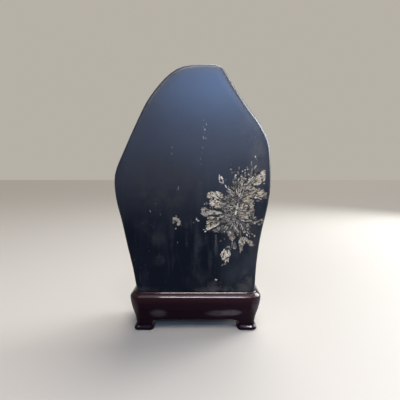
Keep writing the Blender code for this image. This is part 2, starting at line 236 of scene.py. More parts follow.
def carved_stand():
    """The stand: its profile lofted, the socket and the arches cut out, and the feet's edges bevelled."""
    piece = loft("rosewood_stand", [rounded_oblong(*row) for row in curve_through(STAND_PROFILE, 3)])
    footprint = stone_footprint()
    socket = [[Vector((p.x, p.y, up)) * MM for p in footprint] for up in (SOCKET_FLOOR, SOCKET_OPEN)]
    cut_out(piece, loft("socket", socket))
    cut_out(piece, loft("front_arch", arch_rings(FRONT_ARCH_HALF, STAND_DEPTH / 2, False)))
    cut_out(piece, loft("side_arch", arch_rings(SIDE_ARCH_HALF, STAND_WIDTH / 2, True)))
    only(piece)
    bpy.ops.object.mode_set(mode="EDIT")
    bpy.ops.mesh.select_all(action="DESELECT")
    shape = bmesh.from_edit_mesh(piece.data)
    bmesh.ops.remove_doubles(shape, verts=shape.verts, dist=MERGE_DISTANCE)
    for edge in shape.edges:
        low = max(vertex.co.z for vertex in edge.verts) < FEET_TOP * MM
        edge.select = low and edge.calc_face_angle(0.0) > math.radians(SHARP_BEND)
    bmesh.update_edit_mesh(piece.data)
    bpy.ops.mesh.bevel(offset=FOOT_BEVEL * MM, segments=2, profile=0.6, clamp_overlap=False)
    bpy.ops.object.mode_set(mode="OBJECT")
    bpy.ops.object.shade_smooth_by_angle(angle=math.radians(SMOOTH_BELOW))
    return piece


def widest_depth(up):
    """How far back the line lies where the stone is widest."""
    share = (up - RIM_TOP * MM) / ((STONE_TOP - RIM_TOP) * MM)
    return (WIDEST_LOW + (WIDEST_TOP - WIDEST_LOW) * share) * MM


def flat_depth(across, up):
    """How far back the stone's face lies away from its edges."""
    lean = max((up / MM - LEAN_HEIGHT) / (STONE_TOP - LEAN_HEIGHT), 0.0)
    fade = min(max((up / MM - RIM_TOP) / SWELL_FADE, 0.0), 1.0)
    swell = fade * noise.noise(Vector((across / SWELL_SIZE, -SWELL_APART, up / SWELL_SIZE)) / MM)
    return (FACE_DEPTH + FACE_LEAN * lean ** 2 + FACE_SWELL * swell) * MM


def edge_wall(stone):
    """The stone's outline from the front as an upright wall, to measure from."""
    line = [v.co for v in stone.data.vertices if abs(v.co.y - widest_depth(v.co.z)) < 0.01 * MM]
    line.sort(key=lambda place: math.atan2(place.x, place.z - WALL_CENTRE))
    smooth = curve_through([(place.x, place.z) for place in line], 5)
    corners = [Vector((x, side, z)) for x, z in smooth for side in (-1.0, 1.0)]
    sides = [(2 * k, 2 * k + 1, 2 * k + 3, 2 * k + 2) for k in range(len(smooth) - 1)]
    return BVHTree.FromPolygons(corners, sides)


def even_grid(piece, size):
    """Mesh a piece anew in squares of one size, in mm."""
    grid = piece.modifiers.new("even_grid", "REMESH")
    grid.mode = "VOXEL"
    grid.voxel_size = size * MM
    apply_all(piece)


def front_place(across, up, inwards):
    """How far back the stone's front lies, some way in from its outline."""
    far = math.dist((across / MM, up / MM), SOFT_PLACE) / SOFT_REACH
    power = SQUARENESS - SOFTER_BY * max(1.0 - far * far, 0.0)
    share = 1.0 - min(inwards / ROUNDING, 1.0)
    bevel = BEVEL_SLOPE * max(BEVEL_WIDTH - inwards, 0.0) * MM
    widest = widest_depth(up)
    return widest + (flat_depth(across, up) + bevel - widest) * (1.0 - share ** power) ** (1 / power)


def work_front(piece, wall, margin):
    """Lay the front's vertices on the worked face, other than a margin next to the outline."""
    only(piece)
    bpy.ops.object.mode_set(mode="EDIT")
    shape = bmesh.from_edit_mesh(piece.data)
    for vertex in shape.verts:
        across, depth, up = vertex.co
        ease = min(max((up / MM - WORKED_FROM) / WORKED_EASE, 0.0), 1.0)
        if depth < widest_depth(up) - FRONT_CLEAR * MM and ease:
            inwards = wall.find_nearest(Vector((across, 0.0, up)))[3] / MM
            ease *= min(max((inwards - margin) / MARGIN_EASE, 0.0), 1.0)
            vertex.co.y += (front_place(across, up, inwards) - depth) * ease
    bmesh.update_edit_mesh(piece.data)
    bpy.ops.object.mode_set(mode="OBJECT")


def stone_slab():
    """The stone: its solid, with the face ground flat, eased back over a bevel and rounded at its edge."""
    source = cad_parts["stone"]
    piece = bpy.data.objects.new("stone_slab", source.data.copy())
    piece.data.name = "stone_slab"
    bpy.context.scene.collection.objects.link(piece)
    piece.data.materials.clear()
    only(piece)
    bpy.ops.object.mode_set(mode="EDIT")
    bpy.ops.mesh.select_all(action="SELECT")
    bpy.ops.mesh.remove_doubles(threshold=MERGE_DISTANCE)
    bpy.ops.object.mode_set(mode="OBJECT")
    even_grid(piece, FIRST_GRID)
    wall = edge_wall(source)
    work_front(piece, wall, 0.0)
    even_grid(piece, LAST_GRID)
    only(piece)
    bpy.ops.object.mode_set(mode="EDIT")
    bpy.ops.mesh.select_all(action="SELECT")
    bpy.ops.mesh.vertices_smooth(factor=0.5, repeat=3)
    bpy.ops.object.mode_set(mode="OBJECT")
    work_front(piece, wall, EDGE_MARGIN)
    bpy.ops.object.shade_smooth()
    return piece


# The flower. Places are in mm from its heart, across and up; the heart's own place on the stone is HEART.
# Crystals grow away from an upright line through the heart, which lies HEART_LINE across and reaches from the
# first to the second height of SPINE, taken SPINE_SHARE of the way.
HEART = (56.2, 162.2)
HEART_LINE = 1.5
SPINE = (-7.0, 14.0)
SPINE_SHARE = 0.85
# Fields of small crystals: (paleness, spread, warmth, crystals for each square cm, outline)
FIELDS = (
    (0.6, 0.22, 0.55, 95, ((2, 22), (4, 30), (6, 37), (9, 40), (12, 38.5), (16, 36), (20, 34), (25, 32),
     (27, 30), (22, 27), (19, 23), (14, 21), (8, 20), (4, 19))),
    (0.66, 0.2, 0.45, 90, ((15.5, 36.5), (18, 40.5), (21, 44.5), (27, 45.5), (28, 41), (26, 36), (22, 34),
     (17.5, 35))),
    (0.8, 0.14, 0.75, 110, ((27, 44.5), (31, 47), (35, 50.5), (38, 53), (38.6, 48), (38.6, 43), (38, 38),
     (33, 36.5), (31, 34.5), (28, 32.3), (26, 33), (25, 35.5), (27, 38), (28, 41))),
    (0.66, 0.16, 0.85, 90, ((12, 20), (15, 23), (20, 24), (27, 26), (28, 20), (23, 19), (23, 14),
     (24.5, 10), (24, 5), (18, 6), (13, 7), (9, 9), (10, 14))),
    (0.6, 0.16, 0.66, 100, ((3, 8), (10, 8), (16, 6), (24, 5), (24, 0), (22.5, -6), (21.5, -12), (20, -15),
     (15, -14.5), (8, -13.5), (4, -6), (2.5, 2))),
    (0.8, 0.08, 1, 120, ((28, 25), (31, 27.5), (36, 26.5), (39, 24), (39.5, 20), (37, 18), (33, 18),
     (29, 19), (27.5, 21))),
    (0.86, 0.14, 0.75, 130, ((-34.5, 19), (-34.3, 21.8), (-31, 23), (-25.5, 24.3), (-23.5, 25), (-21, 24),
     (-18.5, 22.8), (-16.5, 20), (-15.3, 17), (-17, 15.5), (-22, 16), (-28, 15.6), (-33.5, 16))),
    (0.8, 0.16, 0.8, 120, ((-32, 14.5), (-26, 14.6), (-19, 14.4), (-17.2, 12), (-17, 9), (-18.5, 5),
     (-20, 3.3), (-24, 3), (-26, 4.5), (-30, 6.5), (-33, 9.5), (-32.4, 12))),
    (0.7, 0.14, 0.3, 110, ((-42.8, 2), (-40, 3.8), (-37.5, 3.2), (-35, 0.8), (-26, -0.6), (-18, -1.8),
     (-15.5, -3.2), (-18, -5), (-25, -5.3), (-33, -5.9), (-37, -7.6), (-40.5, -6.8), (-43, -4))),
    (0.68, 0.1, 0.6, 120, ((-35, -9.8), (-33, -8), (-28, -8.2), (-26, -9.5), (-27, -11.8), (-32, -12),
     (-35, -11.2))),
    (0.62, 0.12, 0.55, 110, ((-36.8, -14.2), (-33, -13), (-26, -13), (-20, -13.6), (-16, -14.8),
     (-24, -15.6), (-32, -15.8), (-36.4, -15.6))),
    (0.72, 0.12, 0.85, 120, ((-35.8, -16.6), (-30, -16.4), (-25, -17), (-23, -18.5), (-28, -21.4),
     (-32, -23.4), (-36.6, -24), (-36.2, -20))),
    (0.56, 0.16, 0.5, 100, ((-9, -33.5), (-7.6, -29), (-5, -27), (-3.6, -30), (-2, -33), (0.6, -36),
     (-0.4, -38.5), (-3, -41), (-5.5, -37.5), (-6.6, -34.5))),
    (0.42, 0.12, 0.25, 90, ((-4, -44), (-1, -42.5), (2.4, -44), (3, -48), (1, -50.5), (-3, -50))),
    (0.68, 0.14, 0.6, 110, ((5.6, -38), (7, -36.4), (12, -35.8), (16, -37), (20, -39.6), (23, -41.4),
     (25.4, -45.5), (22, -47), (18, -43.6), (14.4, -41), (13.4, -44.4), (10.8, -46.6), (9, -50), (8, -56),
     (6.8, -51), (6.2, -46), (5.4, -42))),
    (0.95, 0.08, 0.62, 150, ((-14, -52.8), (-11, -53.4), (-8, -54.8), (-6, -57), (-4.2, -60), (-8, -61.2),
     (-11, -62.8), (-14, -64.6), (-16.4, -65), (-15.5, -62), (-17, -60.5), (-18.2, -58), (-17.2, -55.5))),
    (0.92, 0.1, 0.5, 120, ((-13.4, -66.2), (-8.5, -64), (-7, -65), (-8.4, -68.6), (-12, -69))),
    (0.4, 0.24, 0.3, 120, ((-17, 15), (-14, 19), (-8, 22), (0, 24), (4, 19), (9, 20), (10, 12), (6, 8),
     (4, -4), (2, -14), (-6, -14), (-16, -10), (-18, -2), (-17, 8))),
    (0.38, 0.24, 0.2, 95, ((-18, -12), (0, -12), (12, -14), (20, -17), (20.5, -30), (12, -31), (4, -33),
     (-4, -30), (-14, -28.5), (-28, -28.5), (-20, -21))),
    (0.34, 0.2, 0.25, 60, ((-4, 24), (-6, 30), (-3, 37), (0, 43), (8, 44), (12, 46), (24, 52), (27, 46),
     (18, 41), (12, 39), (6, 38), (4, 30), (2, 23))),
    (0.34, 0.18, 0.2, 50, ((20, -15), (26, -8), (29, -9), (28, -15), (38, -11), (41, -10), (38, -18),
     (30, -19.5), (26, -18), (21, -20))),
    (0.3, 0.12, 0.35, 45, ((28, 12), (36, 14), (46, 18), (47, 20), (39, 21), (36, 17), (28, 15))),
)
# Single strokes, pale or dark: (paleness, warmth, width, points along it)
STROKES = (
    # the leaf at the upper left, and its stalk
    (0.86, 0.15, 1.5, ((-20.6, 47), (-19.9, 42), (-20.1, 38.4), (-18.5, 35.6))),
    (0.98, 0.5, 2.4, ((-19, 44.4), (-15.8, 40))), (0.78, 0.3, 2.4, ((-18.2, 36.8), (-14.2, 35.4))),
    (0.85, 0.35, 1.4, ((-16, 40.6), (-14.4, 36.4))), (0.1, 0.9, 1.2, ((-17.9, 38.8), (-16.3, 38.8))),
    (0.14, 0.9, 1.3, ((-16, 44.6), (-14, 42.2))), (0.52, 0.0, 1.5, ((-13.4, 39.9), (-11, 39.9))),
    (0.42, 0.2, 1.6, ((-18.8, 33.6), (-17, 33.4))),
    (0.95, 0.2, 1.5, ((-12.8, 33.6), (-11.8, 31.6), (-10.3, 29))),
    (0.92, 0.2, 1.5, ((-9.8, 28.7), (-6, 26.4))), (0.6, 0.3, 1, ((-8.8, 32), (-7.5, 29.4))),
    (0.45, 0.1, 1, ((-11.5, 26), (-8.8, 22.8), (-5.8, 21.6))), (0.85, 0.3, 1.3, ((-4, 24.8), (-0.8, 22.4))),
    (0.64, 0.4, 1.5, ((-3.8, 29.6), (-0.2, 29.2))), (0.78, 0.15, 1.7, ((-2.7, 37.4), (-1.3, 37))),
    (0.66, 0.15, 1.4, ((0.5, 37.4), (1.8, 37))), (0.05, 0.3, 1.6, ((-6.4, 30.4), (-5.6, 29))),
    (0.06, 0.3, 1.5, ((-3.4, 27.4), (0.6, 24.6))), (0.05, 0.2, 1.7, ((-11.4, 22.2), (-8.8, 21.6))),
    (0.6, 0.2, 1.6, ((-13.2, 18.4), (-11.2, 17.6))), (0.7, 0.2, 1.4, ((-9, 17.8), (-7, 17.4))),
    (0.74, 0.2, 1.5, ((-3.6, 19.4), (-2.2, 18.6))), (0.8, 0.2, 1.8, ((-3.4, 15.2), (-1.6, 14))),
    (0.84, 0.2, 1.6, ((-0.6, 12.8), (0.8, 12.2))), (0.6, 0.2, 1.2, ((0.8, 15), (2.2, 14.2))),
    (0.04, 0.2, 1.5, ((-7.2, 19.4), (-5.6, 18.8))), (0.04, 0.2, 1.4, ((-5.4, 18), (-3.4, 17.6))),
    (0.05, 0.2, 1.3, ((-6, 14.6), (-4.2, 13.4))), (0.06, 0.2, 1.8, ((-8.2, 2.6), (-5.8, 2))),
    (0.1, 0.2, 1.1, ((-10.4, 9.2), (-6, 8.8))), (0.62, 0.25, 1.2, ((-9.8, 3), (-8.6, 0.6))),
    (0.58, 0.3, 1.3, ((-7.6, 1), (-4.6, -1))), (0.62, 0.25, 1.4, ((-4.8, -3.4), (-1.6, -3))),
    (0.6, 0.1, 1.1, ((-17.4, 10.8), (-14.8, 10.2), (-14.6, 8))),
    (0.55, 0.1, 1, ((-16.6, 6.4), (-13.2, 5.2))), (0.05, 0.1, 1.2, ((-16.4, 2.4), (-12.6, 1.8))),
    (0.05, 0.1, 1.2, ((-14, 12.8), (-11.4, 12.2))),
    # the great pale fan at the left
    (0.97, 0.65, 2.2, ((-31, 20.6), (-26, 18.4), (-22.5, 16.9))),
    (0.97, 0.55, 2.4, ((-24, 24), (-18.8, 17.4))), (0.96, 0.5, 2, ((-28.6, 20.6), (-24.6, 20.8))),
    (0.95, 0.35, 2, ((-18.6, 18), (-15.8, 16.8))), (0.8, 0.3, 1.4, ((-34.2, 21.4), (-34, 17))),
    (0.94, 0.5, 1.9, ((-30, 13.2), (-26.6, 11.8))), (0.97, 0.5, 2.2, ((-24.6, 12.6), (-21.6, 10.4))),
    (0.95, 0.35, 1.9, ((-32.4, 10.4), (-29.8, 8.8), (-26.8, 8))),
    (0.9, 0.6, 1.6, ((-23, 8.4), (-20.6, 6.4))), (0.88, 0.75, 2, ((-25, 4.6), (-19, 5.8))),
    (0.9, 0.35, 1.5, ((-19.6, 10.6), (-16.4, 9.4))), (0.66, 0.6, 1.8, ((-27.6, 5.6), (-25, 8.6))),
    (0.05, 0.9, 1, ((-29.8, 13.9), (-26.8, 13.8))), (0.14, 1, 1.5, ((-24.8, 14.4), (-19, 13.4))),
    (0.04, 0.9, 1, ((-30, 17), (-26.4, 15.6))), (0.05, 0.9, 1.2, ((-22.4, 16.9), (-18, 14.9))),
    (0.04, 0.9, 1.7, ((-32.4, 22.4), (-31.2, 21.4))), (0.1, 0.9, 1.3, ((-29.6, 22.4), (-28.8, 21))),
    (0.08, 0.9, 1.4, ((-19, 22.2), (-18, 21.2))), (0.28, 1, 1.3, ((-23.6, 18.6), (-21.6, 17.2))),
    (0.2, 1, 1, ((-28.4, 10.8), (-25.4, 10.4))), (0.12, 1, 1.1, ((-24.4, 9.8), (-20.8, 9.9))),
    (0.1, 0.9, 1.3, ((-21, 8.6), (-18.6, 7.6))), (0.06, 0.6, 1.2, ((-19.4, 12.6), (-16.8, 11.8))),
    (0.03, 0.3, 2, ((-34.6, 14.6), (-32.2, 13.6))), (0.3, 0.9, 1.4, ((-29.4, 5.6), (-26, 4.4))),
    (0.6, 0.1, 1.4, ((-39.8, 9.6), (-39.4, 7))), (0.45, 0.1, 2, ((-37.4, 11.2), (-36.2, 7))),
    (0.62, 0.3, 1.5, ((-32.6, 3.6), (-31.2, 3.6))), (0.62, 0.3, 1.5, ((-29.8, 3.6), (-28.4, 3.4))),
    # the curled band below the fan
    (0.8, 0.15, 1.6, ((-42, 1.8), (-42.6, -2), (-41.6, -5.4), (-38.6, -6.8))),
    (0.78, 0.1, 1.3, ((-41, 2.6), (-38.6, 3.8), (-36.9, 2.2))),
    (0.2, 0.9, 2.6, ((-39.6, -0.4), (-36.8, -1.4))), (0.92, 0.25, 1.3, ((-35.8, -0.8), (-35.6, -3))),
    (0.85, 0.25, 1.7, ((-34.2, -0.2), (-28.6, -1.6))),
    (0.95, 0.2, 1.8, ((-35, -4.8), (-31, -3.9), (-28, -4.4))), (0.14, 0.3, 1, ((-28.4, -2.7), (-25.6, -3))),
    (0.84, 0.25, 2.6, ((-25, -2.4), (-20.6, -2.8), (-16.8, -3.4))),
    (0.03, 0.6, 1.8, ((-36, 1.9), (-28, 1.3), (-22, -0.4), (-12.5, -1.6))),
    (0.03, 0.6, 1.8, ((-36.4, -7), (-28, -6.6), (-18, -6.2))), (0.05, 0.4, 2, ((-26, -8.2), (-20, -7.6))),
    # the bars below the band
    (0.78, 0.5, 2, ((-34.4, -9.6), (-27.2, -9.2))), (0.74, 0.35, 2.4, ((-23.6, -10.4), (-20.4, -12))),
    (0.05, 0.7, 1.1, ((-34.4, -12.4), (-24.6, -12.5))),
    (0.72, 0.4, 1.3, ((-35.6, -14.2), (-30, -13.6), (-25, -13.8))),
    (0.05, 0.6, 1, ((-31.6, -16.5), (-28.6, -16.2))), (0.06, 0.5, 1, ((-25.4, -16.2), (-23.4, -18))),
    (0.05, 0.3, 1.2, ((-22.8, -14.2), (-18.6, -13.4))), (0.97, 0.45, 1.5, ((-31.4, -17.6), (-27.6, -17.6))),
    (0.92, 0.4, 2.4, ((-37.6, -26.6), (-32, -24), (-27, -21.3), (-22.6, -18.6), (-18.6, -16.2))),
    (0.98, 0.25, 1.8, ((-40.4, -28.2), (-36.8, -27.6))), (0.98, 0.25, 1.9, ((-38, -24.8), (-35.6, -23.4))),
    (0.82, 0.15, 1.1, ((-41.6, -26.4), (-40.6, -24.8), (-38.4, -25.6))),
    (0.06, 0.1, 1.3, ((-40.2, -26.8), (-38.8, -26.6))),
    (0.02, 0.3, 2, ((-35, -28.6), (-28.4, -24.8), (-24.6, -22.4), (-19.6, -20), (-13.4, -17),
     (-7.4, -16.8))),
    (0.86, 0.25, 1.9, ((-24.6, -23.2), (-21.8, -22.6), (-19.2, -22.2))),
    (0.06, 0.2, 1.3, ((-21.7, -23.9), (-20.4, -23.8))), (0.72, 0.25, 1.2, ((-22.6, -25.2), (-19.4, -24.2))),
    (0.56, 0.25, 1.5, ((-29.6, -27.6), (-26.2, -25), (-23.6, -24.4))),
    (0.52, 0.25, 1.4, ((-25.6, -28.8), (-23.8, -26))), (0.55, 0.2, 1.4, ((-18.4, -21), (-14.4, -19.8))),
    (0.55, 0.2, 1.2, ((-16.6, -23.2), (-13.2, -24.4))),
    (0.7, 0.2, 1.3, ((-11.6, -26.6), (-9.8, -23.6), (-8.4, -21.2))),
    (0.88, 0.15, 1.7, ((-14, -28.2), (-12.6, -27.8))), (0.45, 0.0, 1.2, ((-13.8, -30.8), (-12.8, -30.2))),
    # round the heart
    (0.8, 0.15, 2, ((-18.4, -9.8), (-15.8, -7.6), (-13.6, -7.4))),
    (0.8, 0.25, 1.1, ((-13.8, -6.2), (-10.4, -5.7), (-7.2, -6.6))),
    (0.02, 0.2, 1, ((-12.8, -6.9), (-10.4, -7), (-8.2, -7.2))),
    (0.9, 0.15, 1.5, ((-13.2, -8.2), (-9.2, -9))), (0.55, 0.2, 1.1, ((-8.2, -7.6), (-5.8, -8.8))),
    (0.03, 0.2, 1.2, ((-8.4, -8.6), (-5.6, -9.6))), (0.5, 0.15, 1.2, ((-18.6, -10.8), (-13.8, -11.4))),
    (0.45, 0.15, 1.2, ((-14.4, -10.4), (-6.4, -11.8))), (0.55, 0.15, 1.3, ((-15, -15.6), (-11.4, -14.8))),
    (0.8, 0.25, 1.9, ((-2.2, -13.9), (-0.2, -13.4))), (0.5, 0.1, 1.6, ((-6.2, -11.6), (-6.8, -17.2))),
    (0.5, 0.1, 1.2, ((-4, -13), (-4.6, -18))),
    (1, 0.35, 1.7, ((4.1, 10.6), (3, 5.4), (1.7, -0.4), (0.9, -4.6), (0.4, -8.2))),
    (0.6, 0.2, 1.4, ((4.6, 16.4), (4, 10.8))),
    # the foot of the flower
    (0.88, 0.25, 2.6, ((-7.4, -31), (-5, -27.2))), (0.74, 0.2, 2, ((-8.8, -33.6), (-6.6, -31))),
    (0.48, 0.8, 3, ((-3.8, -34.6), (-1.8, -38))), (0.94, 0.2, 1.9, ((-4, -40), (-2, -40.2))),
    (0.6, 0.2, 1.4, ((-5.8, -34.4), (-4.4, -37.8))), (0.74, 0.45, 1.3, ((-2.6, -31), (-1.2, -32.8))),
    (0.9, 0.15, 1.4, ((-1.8, -50.4), (2, -50.4))), (0.52, 0.1, 1.8, ((-3.6, -44.8), (-1.2, -46))),
    (0.74, 0.05, 1.7, ((-7.4, -47), (-6.4, -50.4))), (0.55, 0.05, 1.4, ((-11.6, -49.3), (-7.6, -49))),
    (0.55, 0.1, 1.2, ((-6.6, -50.8), (-4.6, -52.2))), (0.94, 0.35, 1.9, ((0.2, -22.2), (2.4, -24.4))),
    (0.8, 0.6, 2.6, ((2.2, -19.4), (4.6, -21.4))), (0.72, 0.15, 1.4, ((0.6, -19.2), (1.6, -18.4))),
    (0.84, 0.1, 1.4, ((8.8, -19.6), (8.8, -21.6))), (0.66, 0.45, 1.4, ((6.4, -22.8), (8.2, -23.4))),
    (0.06, 0.9, 1.3, ((4.9, -19.8), (5.9, -20.8))), (0.04, 0.2, 1.3, ((6.8, -21.4), (8, -21.6))),
    (0.52, 0.1, 1.3, ((5.2, -26.4), (7.8, -28.4), (7.6, -31), (8.8, -33.6))),
    (0.84, 0.05, 1.5, ((2, -30.2), (3, -31))), (0.88, 0.05, 1.5, ((3.4, -31.8), (4.6, -32.6))),
    (0.02, 0.2, 2, ((9.6, -28.6), (12, -33))), (0.02, 0.2, 2.4, ((0.0, -27.6), (2.6, -34.6))),
    (0.9, 0.1, 2, ((12.6, -27.4), (13.2, -29.6))), (0.84, 0.1, 1.6, ((15.6, -25.6), (18.6, -25))),
    (0.84, 0.15, 1.8, ((15, -31), (17.6, -34.2))), (0.56, 0.15, 1.6, ((16.6, -28.4), (20, -31.6))),
    (0.74, 0.2, 1.6, ((19, -34.4), (20.4, -35.6))), (0.88, 0.1, 1.6, ((15.2, -17.6), (18.8, -18.4))),
    (0.74, 0.05, 1.5, ((16, -20.2), (19.2, -20.6))), (0.5, 0.1, 1.2, ((10, -17.2), (13.6, -17.8))),
    (0.94, 0.35, 2.4, ((25.2, -33.4), (27.2, -34.2))), (0.5, 0.5, 1.6, ((21.6, -30.4), (24.8, -32.8))),
    (0.86, 0.05, 2.6, ((24.4, -16.4), (28.2, -17.2))), (0.6, 0.05, 1.4, ((28.8, -14.2), (26.6, -15.8))),
    (0.66, 0.3, 1.4, ((28.4, -15.6), (31.4, -13.8), (35.2, -12.4), (41, -10.2))),
    (0.66, 0.2, 1.3, ((30.2, -18.8), (34, -19))), (0.56, 0.25, 1.3, ((35, -18.2), (37.6, -14.6))),
    (0.04, 0.4, 1.5, ((32.4, -14.6), (32.8, -16.8))), (0.76, 0.2, 1.8, ((34.4, -12.9), (36.2, -12.4))),
    (0.72, 0.1, 1.8, ((23.8, -10.8), (28.2, -8.4))), (0.54, 0.1, 1.3, ((24.9, -2.6), (24.4, -8.8))),
    (0.5, 0.4, 1.2, ((20.6, -14), (25, -15.2))),
    # the split leaf at the lower right
    (0.92, 0.3, 1.7, ((6.2, -38.6), (6.9, -43.8))), (0.9, 0.45, 1.8, ((7.6, -39.2), (9.4, -38.4))),
    (0.36, 0.95, 2.2, ((9.4, -40.2), (11.4, -43.4))), (0.84, 0.45, 1.6, ((12.6, -39.4), (12.6, -44.6))),
    (0.9, 0.45, 1.5, ((7.4, -44.6), (11.4, -45.4))), (0.06, 0.9, 1.1, ((8, -46.4), (9.4, -46.6))),
    (0.7, 0.35, 1.6, ((8.6, -47.4), (8.2, -52), (7.8, -57))), (0.5, 0.3, 1.1, ((10.6, -47), (10.8, -54.8))),
    (0.68, 0.45, 1.5, ((6.8, -37), (12.4, -36))), (0.64, 0.3, 1.4, ((11.4, -36), (11.6, -34.4))),
    (0.66, 0.45, 2.2, ((13.2, -37.4), (16.8, -38.8))), (0.74, 0.45, 2.4, ((17, -39.8), (20.2, -43.2))),
    (0.86, 0.3, 2, ((21, -41.2), (23.8, -43.4))), (0.8, 0.2, 1.4, ((20.4, -45.2), (25.4, -46.2))),
    (0.03, 0.5, 2.2, ((13.8, -42.6), (16.2, -43.4))), (0.04, 0.5, 1.3, ((20.6, -39.8), (21.8, -40.2))),
    (0.38, 0.2, 1.2, ((26.2, -44.8), (27.4, -47.4))),
    # the rows right of the heart
    (0.92, 0.3, 1.8, ((12.2, 11.8), (13.2, 11.2))), (0.86, 0.3, 1.8, ((11.2, 9.6), (11.8, 8.2))),
    (0.03, 0.8, 1.9, ((12.2, 10.2), (14, 9.2))), (0.03, 0.8, 1.6, ((14.8, 9), (16.6, 8.4))),
    (0.1, 0.6, 1.4, ((7.8, 8.8), (9.8, 8.4))), (0.05, 0.6, 1.2, ((10.4, 11.4), (11.2, 10.8))),
    (0.9, 0.45, 1.9, ((8.6, 6.4), (11, 4.8))), (0.9, 0.4, 1.9, ((13.4, 6.4), (17.2, 5.6))),
    (0.86, 0.35, 1.7, ((7, 3.6), (10.6, 3.2))), (0.97, 0.25, 3, ((20.2, 5.2), (22.4, 3.2))),
    (0.74, 0.3, 1.6, ((22.4, 1.6), (24.2, -0.4))), (0.06, 0.9, 2, ((14.8, 2.4), (18.6, 2.2))),
    (0.14, 0.9, 1.2, ((17.6, 4), (19.2, 3))), (0.08, 0.9, 1.3, ((12.4, -0.6), (13.6, -0.9))),
    (0.08, 0.4, 1.2, ((4.6, 5.2), (6.6, 4.2))), (0.86, 0.6, 1.5, ((11.2, -7), (15, -7.9), (18.8, -8.4))),
    (0.03, 0.9, 1.4, ((13.4, -5.6), (15.8, -6.2))), (0.03, 0.9, 1.3, ((16.2, -6.6), (18.4, -7.2))),
    (0.84, 0.35, 1.1, ((14.6, -10.8), (17.8, -11.4))), (0.06, 0.7, 1.1, ((14, -12.4), (18.6, -12.4))),
    (0.06, 0.7, 1, ((18.6, -9.6), (21, -10.8))), (0.8, 0.3, 1.6, ((14.6, -13.8), (19, -13.8))),
    (0.7, 0.25, 1.3, ((7.6, -13.4), (10.6, -12.8))),
    (0.02, 0.6, 1.7, ((10.6, -15.6), (16, -16.4), (23, -16))), (0.66, 0.85, 1.6, ((17, -1.6), (22.6, -1))),
    (0.7, 0.8, 1.6, ((5.6, -3.2), (10.6, -3.8))), (0.74, 0.7, 1.6, ((14, -3.2), (21, -4))),
    (0.06, 0.3, 1.2, ((22.2, -6.2), (22.8, -12))), (0.72, 0.4, 1.2, ((4.6, -12.8), (3.2, -15))),
    (0.05, 0.3, 1.2, ((1.4, -12.6), (1.8, -15.2))), (0.8, 0.9, 2.4, ((15.6, 18.4), (17.4, 13.6))),
    (0.72, 0.8, 1.8, ((18.4, 13.4), (20.2, 9.8))), (0.72, 0.75, 1.6, ((13.4, 17.2), (14.2, 14.4))),
    (0.76, 0.35, 1.5, ((22.8, 9), (23.6, 13.6))), (0.9, 0.35, 2, ((19.2, 18.2), (22, 17.6))),
    (0.03, 0.7, 1.2, ((18, 20.2), (20.6, 20.5))), (0.03, 0.7, 1.6, ((18.8, 16.4), (21, 15.8), (23, 14.6))),
    (0.04, 0.5, 1.3, ((23.6, 11.4), (24.8, 7.4))), (0.66, 0.4, 1.4, ((9, 14.6), (12.4, 12.8))),
    (0.3, 0.3, 1.2, ((5.6, 15.2), (7.2, 14))),
    # the shoulder at the right, and the fingers at the edge
    (0.88, 0.75, 1.7, ((21, 27.2), (23.4, 28.6), (26.4, 28.2), (29.8, 26.6))),
    (0.76, 0.9, 1.6, ((25.4, 26.8), (28.4, 24.6))), (0.74, 0.8, 1.8, ((20.4, 23.2), (22.4, 22.4))),
    (0.72, 0.5, 1.5, ((24.4, 21.8), (27.8, 20.6))), (0.12, 1, 1.8, ((26.2, 23.2), (29, 22.6))),
    (0.98, 0.25, 2.6, ((25.6, 18), (28.6, 15.8))),
    (0.95, 0.3, 1.6, ((28.4, 17.4), (31, 15.4), (35.4, 14.9))),
    (0.88, 0.45, 1.3, ((30.4, 18.4), (34, 18), (37, 17.4))), (0.1, 0.9, 1.3, ((31.2, 16.9), (34.8, 16.3))),
    (0.64, 0.1, 1.1, ((26.8, 12.4), (32.4, 12.3))), (0.04, 0.2, 1.2, ((25.8, 14), (30, 13.6))),
    (0.36, 0.1, 1.1, ((35.2, 13.2), (36, 10))), (0.88, 0.9, 3, ((31, 22.6), (35.4, 20.8))),
    (0.8, 0.95, 2.2, ((31.8, 25), (35.8, 24))), (0.66, 0.4, 2.2, ((37, 22.4), (39.4, 19.6))),
    (0.7, 0.3, 1.4, ((30, 28.6), (32.8, 28.4))), (0.5, 0.5, 1.4, ((33.4, 27.6), (38.4, 27))),
    (0.88, 0.5, 1.7, ((38.8, 24.8), (43, 25.4), (47.8, 26))),
    (0.66, 0.3, 1.2, ((39.8, 20.5), (43.4, 20.2), (47.2, 20.4))),
    (0.03, 0.4, 2.2, ((41, 22.8), (46.4, 22.6))), (0.74, 0.2, 1.4, ((40.6, 23.6), (40.8, 21.6))),
    (0.45, 0.2, 1.2, ((38.6, 18.4), (46.4, 18.2))), (0.3, 0.3, 1.4, ((36.6, 16.2), (37.8, 19.4))),
    (0.04, 0.5, 1.2, ((37.8, 25.4), (39.6, 24.6))),
    # the rays above the heart, and the great petal
    (0.03, 0.7, 2.2, ((12.6, 37.8), (14.2, 36.2))), (0.08, 0.6, 1.6, ((5.8, 38.9), (6.8, 37.9))),
    (0.06, 0.8, 1.2, ((12.6, 32.2), (13.8, 31.6))), (0.98, 0.65, 1.8, ((12, 34.3), (13.6, 33.2))),
    (0.88, 0.7, 2, ((7.6, 36.4), (9.8, 32.8))), (0.84, 0.5, 2, ((7.6, 39.4), (9.8, 38.2))),
    (0.88, 0.5, 1.6, ((16.2, 31.6), (17, 29.8))), (0.84, 0.5, 1.5, ((18.6, 31.4), (19.8, 29.8))),
    (0.74, 0.55, 2, ((13, 28.4), (15.2, 26.4))), (0.66, 0.55, 1.6, ((9.6, 31), (11.4, 28.2))),
